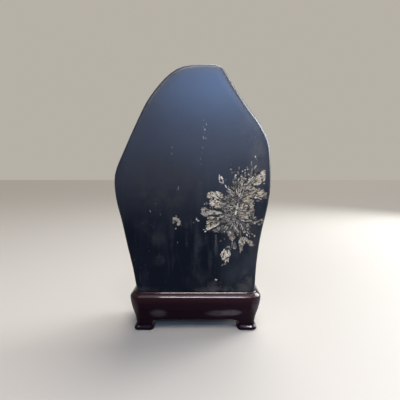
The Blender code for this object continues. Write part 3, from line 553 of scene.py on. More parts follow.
    (0.88, 0.3, 1.4, ((5.2, 25.2), (9.2, 25.8))), (0.6, 0.3, 1.6, ((2.6, 24.4), (5, 22.6))),
    (0.05, 0.5, 1.5, ((5.4, 31), (6.6, 28))), (0.08, 0.5, 1.2, ((3.6, 34.6), (4.6, 32.6))),
    (0.2, 0.9, 1.4, ((19.6, 28.4), (22, 29.6))), (0.3, 0.6, 1.2, ((15.6, 24.4), (17, 22.2))),
    (0.7, 0.45, 1.5, ((17.8, 23.2), (19.4, 21.4))), (0.6, 0.35, 1.6, ((12.2, 24.2), (13.8, 21.6))),
    (0.9, 0.4, 2.6, ((16.8, 36), (19.6, 39.4))), (0.8, 0.45, 2, ((19.4, 39), (22.2, 42.4), (24.8, 44.8))),
    (0.66, 0.45, 1.8, ((23, 39.2), (25.4, 41.2))), (0.72, 0.35, 1.7, ((22, 37.2), (23.6, 34.6))),
    (0.05, 0.6, 1.6, ((20.2, 37.4), (21.2, 35.8))), (0.07, 0.6, 1.5, ((21.4, 34.2), (22.8, 33.2))),
    (0.07, 0.6, 1.4, ((24, 36.8), (25.4, 35.6))), (0.24, 0.8, 1.3, ((26, 38.8), (27.4, 37.4))),
    (0.26, 0.9, 1.4, ((26.4, 43.8), (27.6, 42.4))), (0.95, 0.7, 3.4, ((30.6, 40.6), (33.4, 43.4))),
    (0.9, 0.6, 2.2, ((33, 47), (35.2, 49.4))), (0.86, 0.85, 2, ((29.2, 38.2), (34.8, 38))),
    (0.88, 0.6, 1.8, ((28.6, 43.2), (30.6, 45))),
    (0.94, 0.4, 2.2, ((26.8, 33), (30.8, 34.2), (33.6, 36.4))), (0.95, 0.2, 1.8, ((38, 35.6), (38, 34.2))),
    (0.94, 0.2, 1.5, ((37.6, 44.4), (38.2, 43))), (0.76, 0.4, 1.3, ((36.6, 52.6), (37.6, 46.8))),
    (0.84, 0.55, 1.5, ((37.2, 39), (38.6, 38))), (0.3, 0.8, 1.3, ((34.2, 45.2), (35.4, 43.8))),
    (0.34, 0.8, 1.1, ((33.4, 40.6), (34.6, 39.6))), (0.2, 0.8, 1.1, ((35.8, 41.6), (36.4, 39.6))),
    (0.03, 0.3, 2, ((24.8, 31.6), (28.2, 30.6))), (0.04, 0.3, 1.6, ((34.8, 37), (37.8, 36.6))),
    (0.04, 0.3, 1.7, ((27.4, 47.8), (32.8, 50))),
    # specks above
    (0.98, 0.05, 1.9, ((8.6, 51.3), (10.4, 50.2))), (0.88, 0.05, 1.5, ((12.9, 53.4), (13.1, 51.8))),
    (0.86, 0.1, 1.6, ((12.3, 49.2), (13.7, 48.8))), (0.88, 0.05, 1.6, ((15.2, 52.6), (16.6, 54.4))),
    (0.64, 0.1, 1.5, ((14.6, 56.4), (16.2, 55.4))), (0.62, 0.2, 1.4, ((22.2, 54.8), (22.4, 52.2))),
    (0.6, 0.05, 1.1, ((5.2, 57.2), (4.9, 52.6))), (0.62, 0.05, 1.4, ((3.4, 50.8), (4.6, 46))),
    (1, 0.05, 2.4, ((0.4, 46.8), (1.8, 45))), (0.66, 0.0, 1.2, ((-0.8, 45), (1.6, 41.6))),
    (0.96, 0.1, 1.8, ((8.2, 45.4), (7.6, 43.2))), (0.55, 0.1, 1.3, ((9.2, 47.4), (7.8, 46.2))),
    (0.96, 0.1, 1.7, ((10.6, 42), (12.2, 42.8))), (1, 0.15, 2.2, ((13, 40.4), (14.6, 41.6))),
    (0.94, 0.15, 1.7, ((3.6, 40.1), (5.6, 41.2))), (0.66, 0.15, 1.3, ((12.4, 45.2), (13.6, 45))),
    (0.72, 0.25, 1.6, ((16.6, 47.8), (18.8, 45.8))), (0.72, 0.25, 1.7, ((20.2, 46.4), (22.2, 48.6))),
    (0.62, 0.35, 1.3, ((19.2, 45.2), (21.8, 43.8))), (0.84, 0.25, 2, ((25.2, 46.6), (26.8, 46.4))),
    (0.92, 0.1, 1.5, ((27.8, 58.8), (26.4, 56.2), (24.5, 53.8))),
    (0.62, 0.1, 1.3, ((21, 64.6), (21.1, 58))), (0.36, 0.1, 0.9, ((21, 67.2), (21, 65))),
    (0.92, 0.0, 1.5, ((26, 71), (26.3, 68))), (0.56, 0.05, 1.2, ((26.6, 67.6), (29.4, 64.8))),
    (0.5, 0.0, 2, ((-7, 53.2), (-3.4, 53))),
    (0.64, 0.0, 1.3, ((-4.6, 50.4), (-3.4, 48), (-0.8, 48), (-1.2, 50.8))),
    (0.24, 0.05, 2.6, ((-5.4, 61.4), (-3.6, 55.6))), (0.24, 0.0, 1.6, ((8.8, 60), (10.4, 59.8))),
    (0.03, 0.2, 1.6, ((-2, 53.4), (-1, 52.6))), (0.04, 0.3, 1.4, ((2, 47.4), (3, 46.2))),
    (0.04, 0.3, 1.5, ((10.6, 45.6), (11.2, 43.8))), (0.04, 0.3, 2, ((15, 44.6), (17, 42.2))),
    (0.04, 0.3, 1.6, ((10.6, 53.4), (11.8, 52.4))), (0.05, 0.3, 1.4, ((6.8, 53), (8.2, 52.4))),
    (0.06, 0.3, 1.5, ((6.6, 49.2), (10.4, 48.2))),
    # cracks in the pale clump below the flower
    (0.1, 0.9, 1, ((-11.6, -64), (-7, -61.8))), (0.14, 0.8, 1, ((-16, -60.8), (-14.2, -62.4))),
    (1, 0.45, 2.2, ((-12, -60.6), (-8.6, -59.6))), (0.98, 0.3, 1.6, ((-16.2, -64.4), (-13.6, -63))),
    (1, 0.35, 1.8, ((-6.6, -58.8), (-4.8, -59.4))), (0.8, 0.75, 2, ((-13.4, -56.8), (-10, -57.6))),
    (0.62, 0.2, 1.6, ((-13.8, -72.6), (-11, -70.6))), (0.5, 0.1, 1.4, ((-17.4, -74.4), (-14.4, -72))),
    # strays and faint marks left of the flower
    (0.2, 0.05, 2, ((-24.6, -31), (-24.4, -50))), (0.36, 0.1, 1.5, ((-20.4, -41.6), (-17.2, -39.8))),
    (0.3, 0.0, 1.1, ((-13.8, -36.6), (-12.8, -39.8))),
)
# Clumps of the same crystals away from the flower, in mm on the stone: (across, up, half width, half height,
# paleness, warmth, crystals)
CLUMPS = (
    (48.6, 113.6, 1.6, 1.4, 0.5, 0.3, 4), (-22.6, 151.2, 2.6, 1.6, 0.58, 0.4, 10),
    (-18.6, 149.2, 2.6, 1.6, 0.66, 0.5, 12), (-20.4, 154.4, 0.9, 1.6, 0.55, 0.3, 4),
    (-23.2, 145.6, 1.8, 1.5, 0.52, 0.4, 7), (-17.2, 144.8, 2.2, 2.6, 0.68, 0.5, 12),
    (-21.4, 138.2, 1, 2, 0.6, 0.3, 3), (-13.8, 142.4, 0.7, 1.6, 0.45, 0.2, 2),
    (6.4, 150.4, 1.2, 1, 0.8, 0.1, 3), (8.8, 148.2, 1, 1.1, 0.66, 0.1, 3),
    (2.2, 145.6, 1, 0.9, 0.42, 0.1, 2), (31.8, 69.2, 2.2, 0.9, 0.8, 0.0, 5),
    (-55, 161.4, 1, 1.3, 0.46, 0.3, 3), (-41, 157.2, 1, 1.4, 0.3, 0.3, 2),
    (-60.6, 160.8, 0.7, 1, 0.26, 0.3, 2),
)
# A clump's crystals: how far out they lie, their largest size in mm, their length and width as shares of
# their size, their turn in degrees, and their height in mm.
CLUMP_FILL = 0.8
CLUMP_LARGEST = 3.2
CLUMP_LENGTH = 1.5
CLUMP_WIDTH = (0.45, 0.8)
CLUMP_TURN = (20, 130)
CLUMP_HEIGHT = (0.35, 0.7)
# Pin-prick crystals elsewhere on the face, in mm on the stone: (across, up, height, paleness)
PIN_PRICKS = (
    (18.9, 273, 2.8, 0.7), (17, 266.4, 2.8, 0.92), (15.4, 256, 4.6, 0.82), (15, 270, 1.8, 0.52),
    (18.2, 255.4, 2.8, 0.58), (15.4, 278.4, 2, 0.56), (14.4, 243.4, 3, 0.5), (11.6, 229, 2.4, 0.5),
    (16.2, 261, 1.8, 0.5), (39.6, 288, 2.4, 0.42), (13.4, 236, 1.8, 0.42), (12, 222, 1.8, 0.4),
    (-25.8, 235.8, 3, 0.62), (-25.4, 243.8, 3.2, 0.52), (-17.5, 191.2, 6, 0.43), (-21.6, 221, 2.6, 0.32),
    (-18.8, 119.5, 3, 0.38), (-47, 171, 3, 0.27), (82, 256.4, 2, 0.43), (79, 251, 1.6, 0.35),
    (-3, 268, 2.2, 0.3), (86.4, 250.6, 1.6, 0.41), (76.4, 246.2, 1.6, 0.35),
)
PRICK_WIDTH = 1.3
PRICK_TURN = (75, 105)
PRICK_HEIGHT = 0.15
FLOWER_SEED = 7
# The width of one crystal's lane in a stroke, and its length, in mm.
CRYSTAL_WIDTH = 1.15
CRYSTAL_LENGTH = (5.0, 11.0)
# The model crystal: where its base and its top end along it, how wide its top is, and its points' height.
BASE_ENDS = (0.14, 0.88)
TOP_ENDS = (0.20, 0.84)
TOP_WIDTH = 0.80
POINT_HEIGHT = 0.12
# How deep a crystal's base is sunk in the stone, how far its top may lean aside, and how its height varies.
SUNK = -0.35
LEAN_ASIDE = 0.16
HEIGHT_VARIES = (0.8, 1.1)
# Rows of crystals along a stroke: how their ends vary and draw in at the sides, the share of the path too
# short for one more and how far the last may pass the end, their least half width, the shortest piece left
# over, and how they drift, wander, fill their lane and overlap.
ENDS_VARY = (-0.04, 0.06)
ENDS_DRAW_IN = 0.08
TOO_SHORT = 0.06
PAST_END = 0.02
LEAST_HALF = 0.25
SHORTEST = 2.5
DRIFT = 0.25
WANDER = 0.15
LANE_FILL = (1.05, 1.35)
OVERLAP = (-0.01, 0.04)
# Strokes paler than DARK_BELOW are crystals; the others are cracks, drawn wider and a little prouder.
DARK_BELOW = 0.3
DARK_WIDER = 1.3
DARK_RISE = (0.62, 0.68)
PALE_RISE = (0.44, 0.56)
PALE_SHARE = 0.93
END_TAPER = 0.8
# A field's crystals: the share of broad ones in its bed, and of thin dark cracks among the small ones above.
# Both kinds have their lengths, widths and heights in mm, and how far they turn aside in degrees.
BROAD_SHARE = 0.30
BROAD_CRYSTALS = ((4.0, 7.0), (1.6, 2.6), (0.12, 0.22))
BROAD_PALENESS = (0.35, 0.65)
BROAD_TURN = 8
SMALL_CRYSTALS = ((2.2, 6.0), (0.8, 1.7), (0.24, 0.42))
SMALL_SPREAD = 1.3
SMALL_TURN = 14
CRACK_SHARE = 0.30
CRACK_PALENESS = 0.05
CRACK_THINNER = 0.7
# Needles: every second one is dark. Lengths, widths and heights in mm, and the turn aside in degrees.
NEEDLE_LENGTH = (3.0, 7.0)
DARK_NEEDLE_WIDTH = (0.8, 1.3)
PALE_NEEDLE_WIDTH = (0.55, 1.1)
NEEDLE_HEIGHT = (0.42, 0.48)
NEEDLE_TURN = 5
DARK_NEEDLE = 0.04
PALE_NEEDLES = (0.46, 0.92)
# Fans of needles round the heart, in degrees and mm: (first turn, last turn, root, nearest, farthest, count)
RAYS = (
    (198, 345, (0.0, -8), 6, 22, 130), (345, 378, (2, -8), 6, 22, 36), (20, 88, (3, 14), 5, 26, 110),
    (88, 150, (2, 16), 3, 14, 44), (150, 200, (2, 4), 6, 20, 76), (170, 200, (-14, -8), 4, 20, 28),
    (-12, 14, (4, 1), 4, 18, 42),
)


def unit_crystal():
    """One crystal: 1 long from the origin along X, 1 wide and 1 high, with pointed ends and a flat top."""
    nothing_selected()
    bpy.ops.mesh.primitive_cube_add(size=1.0, location=(0.5, 0.0, 0.5))
    piece = bpy.context.object
    piece.name = "unit_crystal"
    bpy.ops.object.transform_apply(location=True, rotation=False, scale=False)
    bpy.ops.object.mode_set(mode="EDIT")
    shape = bmesh.from_edit_mesh(piece.data)
    for vertex in shape.verts:
        top = vertex.co.z > 0.5
        near_end, far_end = TOP_ENDS if top else BASE_ENDS
        vertex.co.x = near_end if vertex.co.x < 0.5 else far_end
        vertex.co.y *= TOP_WIDTH if top else 1.0
    for end, goal in ((-1, 0.0), (1, 1.0)):
        bpy.ops.mesh.select_all(action="DESELECT")
        shape = bmesh.from_edit_mesh(piece.data)
        shape.faces.ensure_lookup_table()
        face = max(shape.faces, key=lambda f: f.normal.x * end)
        face.select = True
        bmesh.update_edit_mesh(piece.data)
        bpy.ops.mesh.extrude_region_move()
        bpy.ops.mesh.merge(type="CENTER")
        shape = bmesh.from_edit_mesh(piece.data)
        for vertex in shape.verts:
            if vertex.select:
                vertex.co = (goal, 0.0, POINT_HEIGHT)
        bmesh.update_edit_mesh(piece.data)
    bpy.ops.mesh.select_all(action="SELECT")
    bpy.ops.mesh.normals_make_consistent(inside=False)
    bpy.ops.object.mode_set(mode="OBJECT")
    tint = piece.data.attributes.new("crystal", "FLOAT_COLOR", "POINT")
    tint.data.foreach_set("color", [0.5, 0.5, 0.5, 1.0] * len(piece.data.vertices))
    return piece


class Bed:
    """The stone's front, which crystals are laid on."""

    def __init__(self, slab):
        self.tree = BVHTree.FromObject(slab, bpy.context.evaluated_depsgraph_get())

    def place(self, across, up, height):
        """The point at a height over the stone's front, everything in mm."""
        start = Vector((across, -200.0, up)) * MM
        point, normal = self.tree.ray_cast(start, Vector((0, 1, 0)))[:2]
        if point is None:
            return None
        return point + normal * height * MM


def lay_crystal(template, bed, spine, width, rise, shade, chance):
    """A copy of the crystal laid along a spine, which gives (across, up) in mm for a share of its length."""
    copy = template.copy()
    copy.data = template.data.copy()
    skew = chance.uniform(-LEAN_ASIDE, LEAN_ASIDE)
    places = []
    for vertex in template.data.vertices:
        share = vertex.co.x
        here = spine(share)
        ahead = spine(share + 0.02)
        along = Vector((ahead[0] - here[0], ahead[1] - here[1])).normalized()
        sideways = (vertex.co.y + (skew if vertex.co.z > 0.5 else 0.0)) * width(share)
        across = here[0] - along.y * sideways
        up = here[1] + along.x * sideways
        height = SUNK if vertex.co.z < 0.05 else rise * vertex.co.z * chance.uniform(*HEIGHT_VARIES)
        place = bed.place(across, up, height)
        if place is None:
            bpy.data.objects.remove(copy, do_unlink=True)
            return None
        places.append(place)
    for vertex, place in zip(copy.data.vertices, places):
        vertex.co = place
    copy.data.attributes["crystal"].data.foreach_set("color", list(shade) * len(places))
    bpy.context.scene.collection.objects.link(copy)
    return copy


def shade_of(paleness, warmth, chance, spread):
    """A crystal's paleness, warmth and a number of its own, as the colour that the finish reads."""
    return (
        min(max(paleness + chance.uniform(-spread, spread), 0.03), 1.0),
        min(max(warmth + chance.uniform(-0.15, 0.15), 0.0), 1.0),
        chance.random(),
        1.0,
    )


def petal_crystals(template, bed, paleness, warmth, path, rise, chance):
    """Crystals side by side and end to end along one petal's path."""
    fine = curve_through(path, 8)
    lengths = [0.0]
    for first, second in zip(fine, fine[1:]):
        lengths.append(lengths[-1] + math.hypot(second[0] - first[0], second[1] - first[1]))
    total = lengths[-1]
    heart_x, heart_z = HEART

    def at(share):
        goal = min(max(share, 0.0), 1.0) * total
        k = 0
        while k < len(lengths) - 2 and lengths[k + 1] < goal:
            k += 1
        part = (goal - lengths[k]) / max(lengths[k + 1] - lengths[k], 1e-6)
        return [a + (b - a) * part for a, b in zip(fine[k], fine[k + 1])]

    widest = max(row[2] for row in fine)
    columns = max(1, round(2 * widest / CRYSTAL_WIDTH))
    laid = []
    for column in range(columns):
        lane = -1 + (2 * column + 1) / columns
        start = chance.uniform(*ENDS_VARY) + ENDS_DRAW_IN * abs(lane)
        stop = 1 - chance.uniform(*ENDS_VARY) - ENDS_DRAW_IN * abs(lane)
        while start < stop - TOO_SHORT:
            end = min(start + chance.uniform(*CRYSTAL_LENGTH) / total, stop + PAST_END)
            if stop - end < SHORTEST / total:
                end = stop
            drift = chance.uniform(-DRIFT, DRIFT) / columns
            lane_here = lane + chance.uniform(-WANDER, WANDER) / columns
            fill = chance.uniform(*LANE_FILL)

            def spine(share, start=start, end=end, lane_here=lane_here, drift=drift):
                spot = at(start + (end - start) * share)
                near = at(start + (end - start) * share + 0.01)
                back = at(start + (end - start) * share - 0.01)
                along = Vector((near[0] - back[0], near[1] - back[1])).normalized()
                side = (lane_here + drift * share) * max(spot[2], LEAST_HALF)
                return heart_x + spot[0] - along.y * side, heart_z + spot[1] + along.x * side

            def width(share, start=start, end=end, fill=fill):
                return 2 * max(at(start + (end - start) * share)[2], LEAST_HALF) / columns * fill

            piece = lay_crystal(template, bed, spine, width, chance.uniform(*rise),
                                shade_of(paleness, warmth, chance, 0.06), chance)
            if piece:
                laid.append(piece)
            start = end - chance.uniform(*OVERLAP)
    return laid


def straight_crystal(template, bed, across, up, length, thick, turn, rise, shade, chance):
    """One straight crystal with its middle at a place on the stone, in mm."""
    dx = math.cos(math.radians(turn)) * length
    dz = math.sin(math.radians(turn)) * length

    def spine(share):
        return across + dx * (share - 0.5), up + dz * (share - 0.5)

    return lay_crystal(template, bed, spine, lambda share: thick, rise, shade, chance)


def joined(name, parts):
    """Pieces joined into one with a name; places off the stone gave no piece."""
    parts = [part for part in parts if part]
    nothing_selected()
    for part in parts:
        part.select_set(True)
    bpy.context.view_layer.objects.active = parts[0]
    bpy.ops.object.join()
    piece = bpy.context.object
    piece.name = name
    piece.data.name = name
    return piece


def outward(across, up):
    """The turn in degrees in which crystals grow at a place, away from the heart's upright line."""
    root = min(max(up, SPINE[0]), SPINE[1]) * SPINE_SHARE
    return math.degrees(math.atan2(up - root, across - HEART_LINE))


def inside(outline, across, up):
    """Whether a place lies inside a closed outline."""
    found = False
    for (x0, z0), (x1, z1) in zip(outline, outline[1:] + outline[:1]):
        if (z0 > up) != (z1 > up) and across < x0 + (x1 - x0) * (up - z0) / (z1 - z0):
            found = not found
    return found


def field_crystals(template, bed, field, chance):
    """Small crystals that fill an outline, over a bed of broader, darker ones."""
    paleness, spread, warmth, density, outline = field
    low_x, high_x = min(p[0] for p in outline), max(p[0] for p in outline)
    low_z, high_z = min(p[1] for p in outline), max(p[1] for p in outline)
    count = round((high_x - low_x) * (high_z - low_z) * density / 100)
    laid = []
    for _ in range(count):
        across = chance.uniform(low_x, high_x)
        up = chance.uniform(low_z, high_z)
        if not inside(outline, across, up):
            continue
        turn = outward(across, up)
        if chance.random() < BROAD_SHARE:
            length, thick, rise = (chance.uniform(*span) for span in BROAD_CRYSTALS)
            pale = paleness * chance.uniform(*BROAD_PALENESS)
            turn += chance.uniform(-BROAD_TURN, BROAD_TURN)
        else:
            length, thick, rise = (chance.uniform(*span) for span in SMALL_CRYSTALS)
            pale = paleness + chance.uniform(-SMALL_SPREAD, SMALL_SPREAD) * spread
            if chance.random() < CRACK_SHARE:
                pale = CRACK_PALENESS
                thick *= CRACK_THINNER
            turn += chance.uniform(-SMALL_TURN, SMALL_TURN)
        laid.append(straight_crystal(
            template, bed, HEART[0] + across, HEART[1] + up, length, thick, turn, rise,
            shade_of(pale, warmth, chance, 0.04), chance))
    return laid


def stroke_crystals(template, bed, stroke, chance):
    """A pale or dark stroke: crystals side by side along its points. The dark ones lie a little prouder."""
    paleness, warmth, width, points = stroke
    dark = paleness < DARK_BELOW
    if dark:
        width *= DARK_WIDER
    last = len(points) - 1
    tapered = [(across, up, width / 2 * (END_TAPER if k in (0, last) and last > 1 else 1.0))
               for k, (across, up) in enumerate(points)]
    shown = paleness if dark else paleness * PALE_SHARE
    return petal_crystals(template, bed, shown, warmth, tapered, DARK_RISE if dark else PALE_RISE, chance)


def ray_needles(template, bed, chance):
    """Thin needles, pale and dark, that run outward from the flower's heart."""
    laid = []
    for first, last, root, inner, outer, count in RAYS:
        for k in range(count):
            turn = chance.uniform(first, last)
            reach = chance.uniform(inner, outer)
            across = root[0] + reach * math.cos(math.radians(turn))
            up = root[1] + reach * math.sin(math.radians(turn))
            dark = k % 2 == 0
            paleness = DARK_NEEDLE if dark else chance.uniform(*PALE_NEEDLES)
            length = chance.uniform(*NEEDLE_LENGTH)
            thick = chance.uniform(*(DARK_NEEDLE_WIDTH if dark else PALE_NEEDLE_WIDTH))
            turn += chance.uniform(-NEEDLE_TURN, NEEDLE_TURN)
            laid.append(straight_crystal(
                template, bed, HEART[0] + across, HEART[1] + up, length, thick, turn,
                chance.uniform(*NEEDLE_HEIGHT), shade_of(paleness, 0.3, chance, 0.03), chance))
    return laid


def flower(bed):
    """All crystals on the stone's face, joined by kind."""
    chance = random.Random(FLOWER_SEED)
    template = unit_crystal()
    groups = {"flower_shards": [], "flower_strokes": [], "loose_crystals": []}
    for field in FIELDS:
        groups["flower_shards"] += field_crystals(template, bed, field, chance)
    groups["flower_shards"] += ray_needles(template, bed, chance)
    for stroke in STROKES:
        groups["flower_strokes"] += stroke_crystals(template, bed, stroke, chance)
    for across, up, half_across, half_up, paleness, warmth, count in CLUMPS:
        for _ in range(count):
            turn = chance.uniform(0, 2 * math.pi)
            reach = math.sqrt(chance.random()) * CLUMP_FILL
            size = chance.uniform(0.5, 1.0) * min(CLUMP_LARGEST, 2.0 * min(half_across, half_up))
            middle_x = across + math.cos(turn) * reach * half_across
            middle_z = up + math.sin(turn) * reach * half_up
            groups["loose_crystals"].append(straight_crystal(
                template, bed, middle_x, middle_z, size * CLUMP_LENGTH, size * chance.uniform(*CLUMP_WIDTH),
                chance.uniform(*CLUMP_TURN), chance.uniform(*CLUMP_HEIGHT),
                shade_of(paleness, warmth, chance, 0.10), chance))
    for across, up, height, paleness in PIN_PRICKS:
        groups["loose_crystals"].append(straight_crystal(
            template, bed, across, up, height, PRICK_WIDTH, chance.uniform(*PRICK_TURN), PRICK_HEIGHT,
            shade_of(paleness, 0.0, chance, 0.03), chance))
    bpy.data.objects.remove(template, do_unlink=True)
    return [joined(name, parts) for name, parts in groups.items()]


# Finishes

class Wire:
    """One output of a finish's nodes. Arithmetic on it adds Math nodes."""

    def __init__(self, finish, socket):
        self.finish = finish
        self.socket = socket

    def math(self, operation, *others):
        """A Math node with this wire first."""
        return self.finish.node("ShaderNodeMath", {"operation": operation}, (self, *others))

    def __add__(self, other):
        return self.math("ADD", other)

    __radd__ = __add__

    def __sub__(self, other):
        return self.math("SUBTRACT", other)

    def __rsub__(self, other):
        return self.finish.node("ShaderNodeMath", {"operation": "SUBTRACT"}, (other, self))

    def __mul__(self, other):
        return self.math("MULTIPLY", other)

    __rmul__ = __mul__

    def __truediv__(self, other):
        return self.math("DIVIDE", other)

    def between(self, low, high):
        """0 below low, 1 above high, and smooth between."""
        settings = {"interpolation_type": "SMOOTHSTEP", "clamp": True}
        return self.finish.node("ShaderNodeMapRange", settings, {0: self, 1: low, 2: high, 3: 0.0, 4: 1.0})


class Finish:
    """A procedural material on Object coordinates."""

    def __init__(self, name, **surface):
        self.material = bpy.data.materials.new(name)
        self.material.use_nodes = True
        self.tree = self.material.node_tree
        self.shader = self.tree.nodes["Principled BSDF"]
        for label, value in surface.items():
            self.shader.inputs[label.replace("_", " ")].default_value = value
        self.coords = Wire(self, self.tree.nodes.new("ShaderNodeTexCoord").outputs["Object"])

    def node(self, kind, settings, inputs=(), output=0):
        """One node from its type, its settings, such as a ramp's stops, and its inputs, wires or values."""
        made = self.tree.nodes.new(kind)
        for label, value in settings.items():
            if label == "stops":
                ramp = made.color_ramp
                while len(ramp.elements) < len(value):
                    ramp.elements.new(0.5)
                for element, (place, colour) in zip(ramp.elements, value):
                    element.position = place
                    element.color = (*colour, 1.0)
            else:
                setattr(made, label, value)
        pairs = inputs.items() if isinstance(inputs, dict) else enumerate(inputs)
        for label, value in pairs:
            if isinstance(value, Wire):
                self.tree.links.new(value.socket, made.inputs[label])
            else:
                made.inputs[label].default_value = value
        return Wire(self, made.outputs[output])

    def feed(self, label, wire):
        """Lead a wire into one of the surface's own inputs."""
        self.tree.links.new(wire.socket, self.shader.inputs[label])

    def stretched(self, scale, shift=(0.0, 0.0, 0.0)):
        """The coordinates, scaled and moved."""
        return self.node("ShaderNodeMapping", {"vector_type": "POINT"}, {0: self.coords, 1: shift, 3: scale})

    def clouds(self, scale, detail, roughness, stretch=(1, 1, 1), shift=(0, 0, 0), warp=0.0):
        """Soft noise from 0 to 1; a stretch of less than 1 along an axis draws it out along that axis."""
        place = self.stretched(stretch, shift)
        return self.node("ShaderNodeTexNoise", {}, {
            0: place, "Scale": scale, "Detail": detail, "Roughness": roughness, "Distortion": warp})

    def cells(self, scale):
        """How far each place lies from the nearest of many scattered points."""
        return self.node("ShaderNodeTexVoronoi", {}, {0: self.stretched((1, 1, 1)), "Scale": scale})

    def mixed(self, share, first, second):
        """Two colours mixed; a colour is a wire, or three numbers."""
        first, second = ((*c, 1.0) if isinstance(c, tuple) else c for c in (first, second))
        return self.node("ShaderNodeMix", {"data_type": "RGBA"}, {0: share, 6: first, 7: second}, output=2)

    def split(self, kind, wire):
        """The three parts of a place, a direction or a colour."""
        made = self.node(kind, {}, (wire,)).socket.node
        return [Wire(self, made.outputs[k]) for k in range(3)]

    def axes(self):
        """The place along the object's X, Y and Z, in metres."""
        return self.split("ShaderNodeSeparateXYZ", self.coords)

    def facing(self, axis):
        """How far the surface looks along one of the object's axes."""
        normal = Wire(self, self.coords.socket.node.outputs["Normal"])
        return self.split("ShaderNodeSeparateXYZ", normal)["xyz".index(axis)]

    def bump(self, height, strength, distance):
        """A normal that follows a height; the distance is in metres."""
        return self.node("ShaderNodeBump", {}, {"Strength": strength, "Distance": distance, "Height": height})

    def around(self, x, z, centre, radii):
        """1 at a place on the face, falling to 0 at the edge of an oval, in mm."""
        dx = (x - centre[0] * MM) / (radii[0] * MM)
        dz = (z - centre[1] * MM) / (radii[1] * MM)
        return 1 - (dx * dx + dz * dz).between(0.0, 1.0)


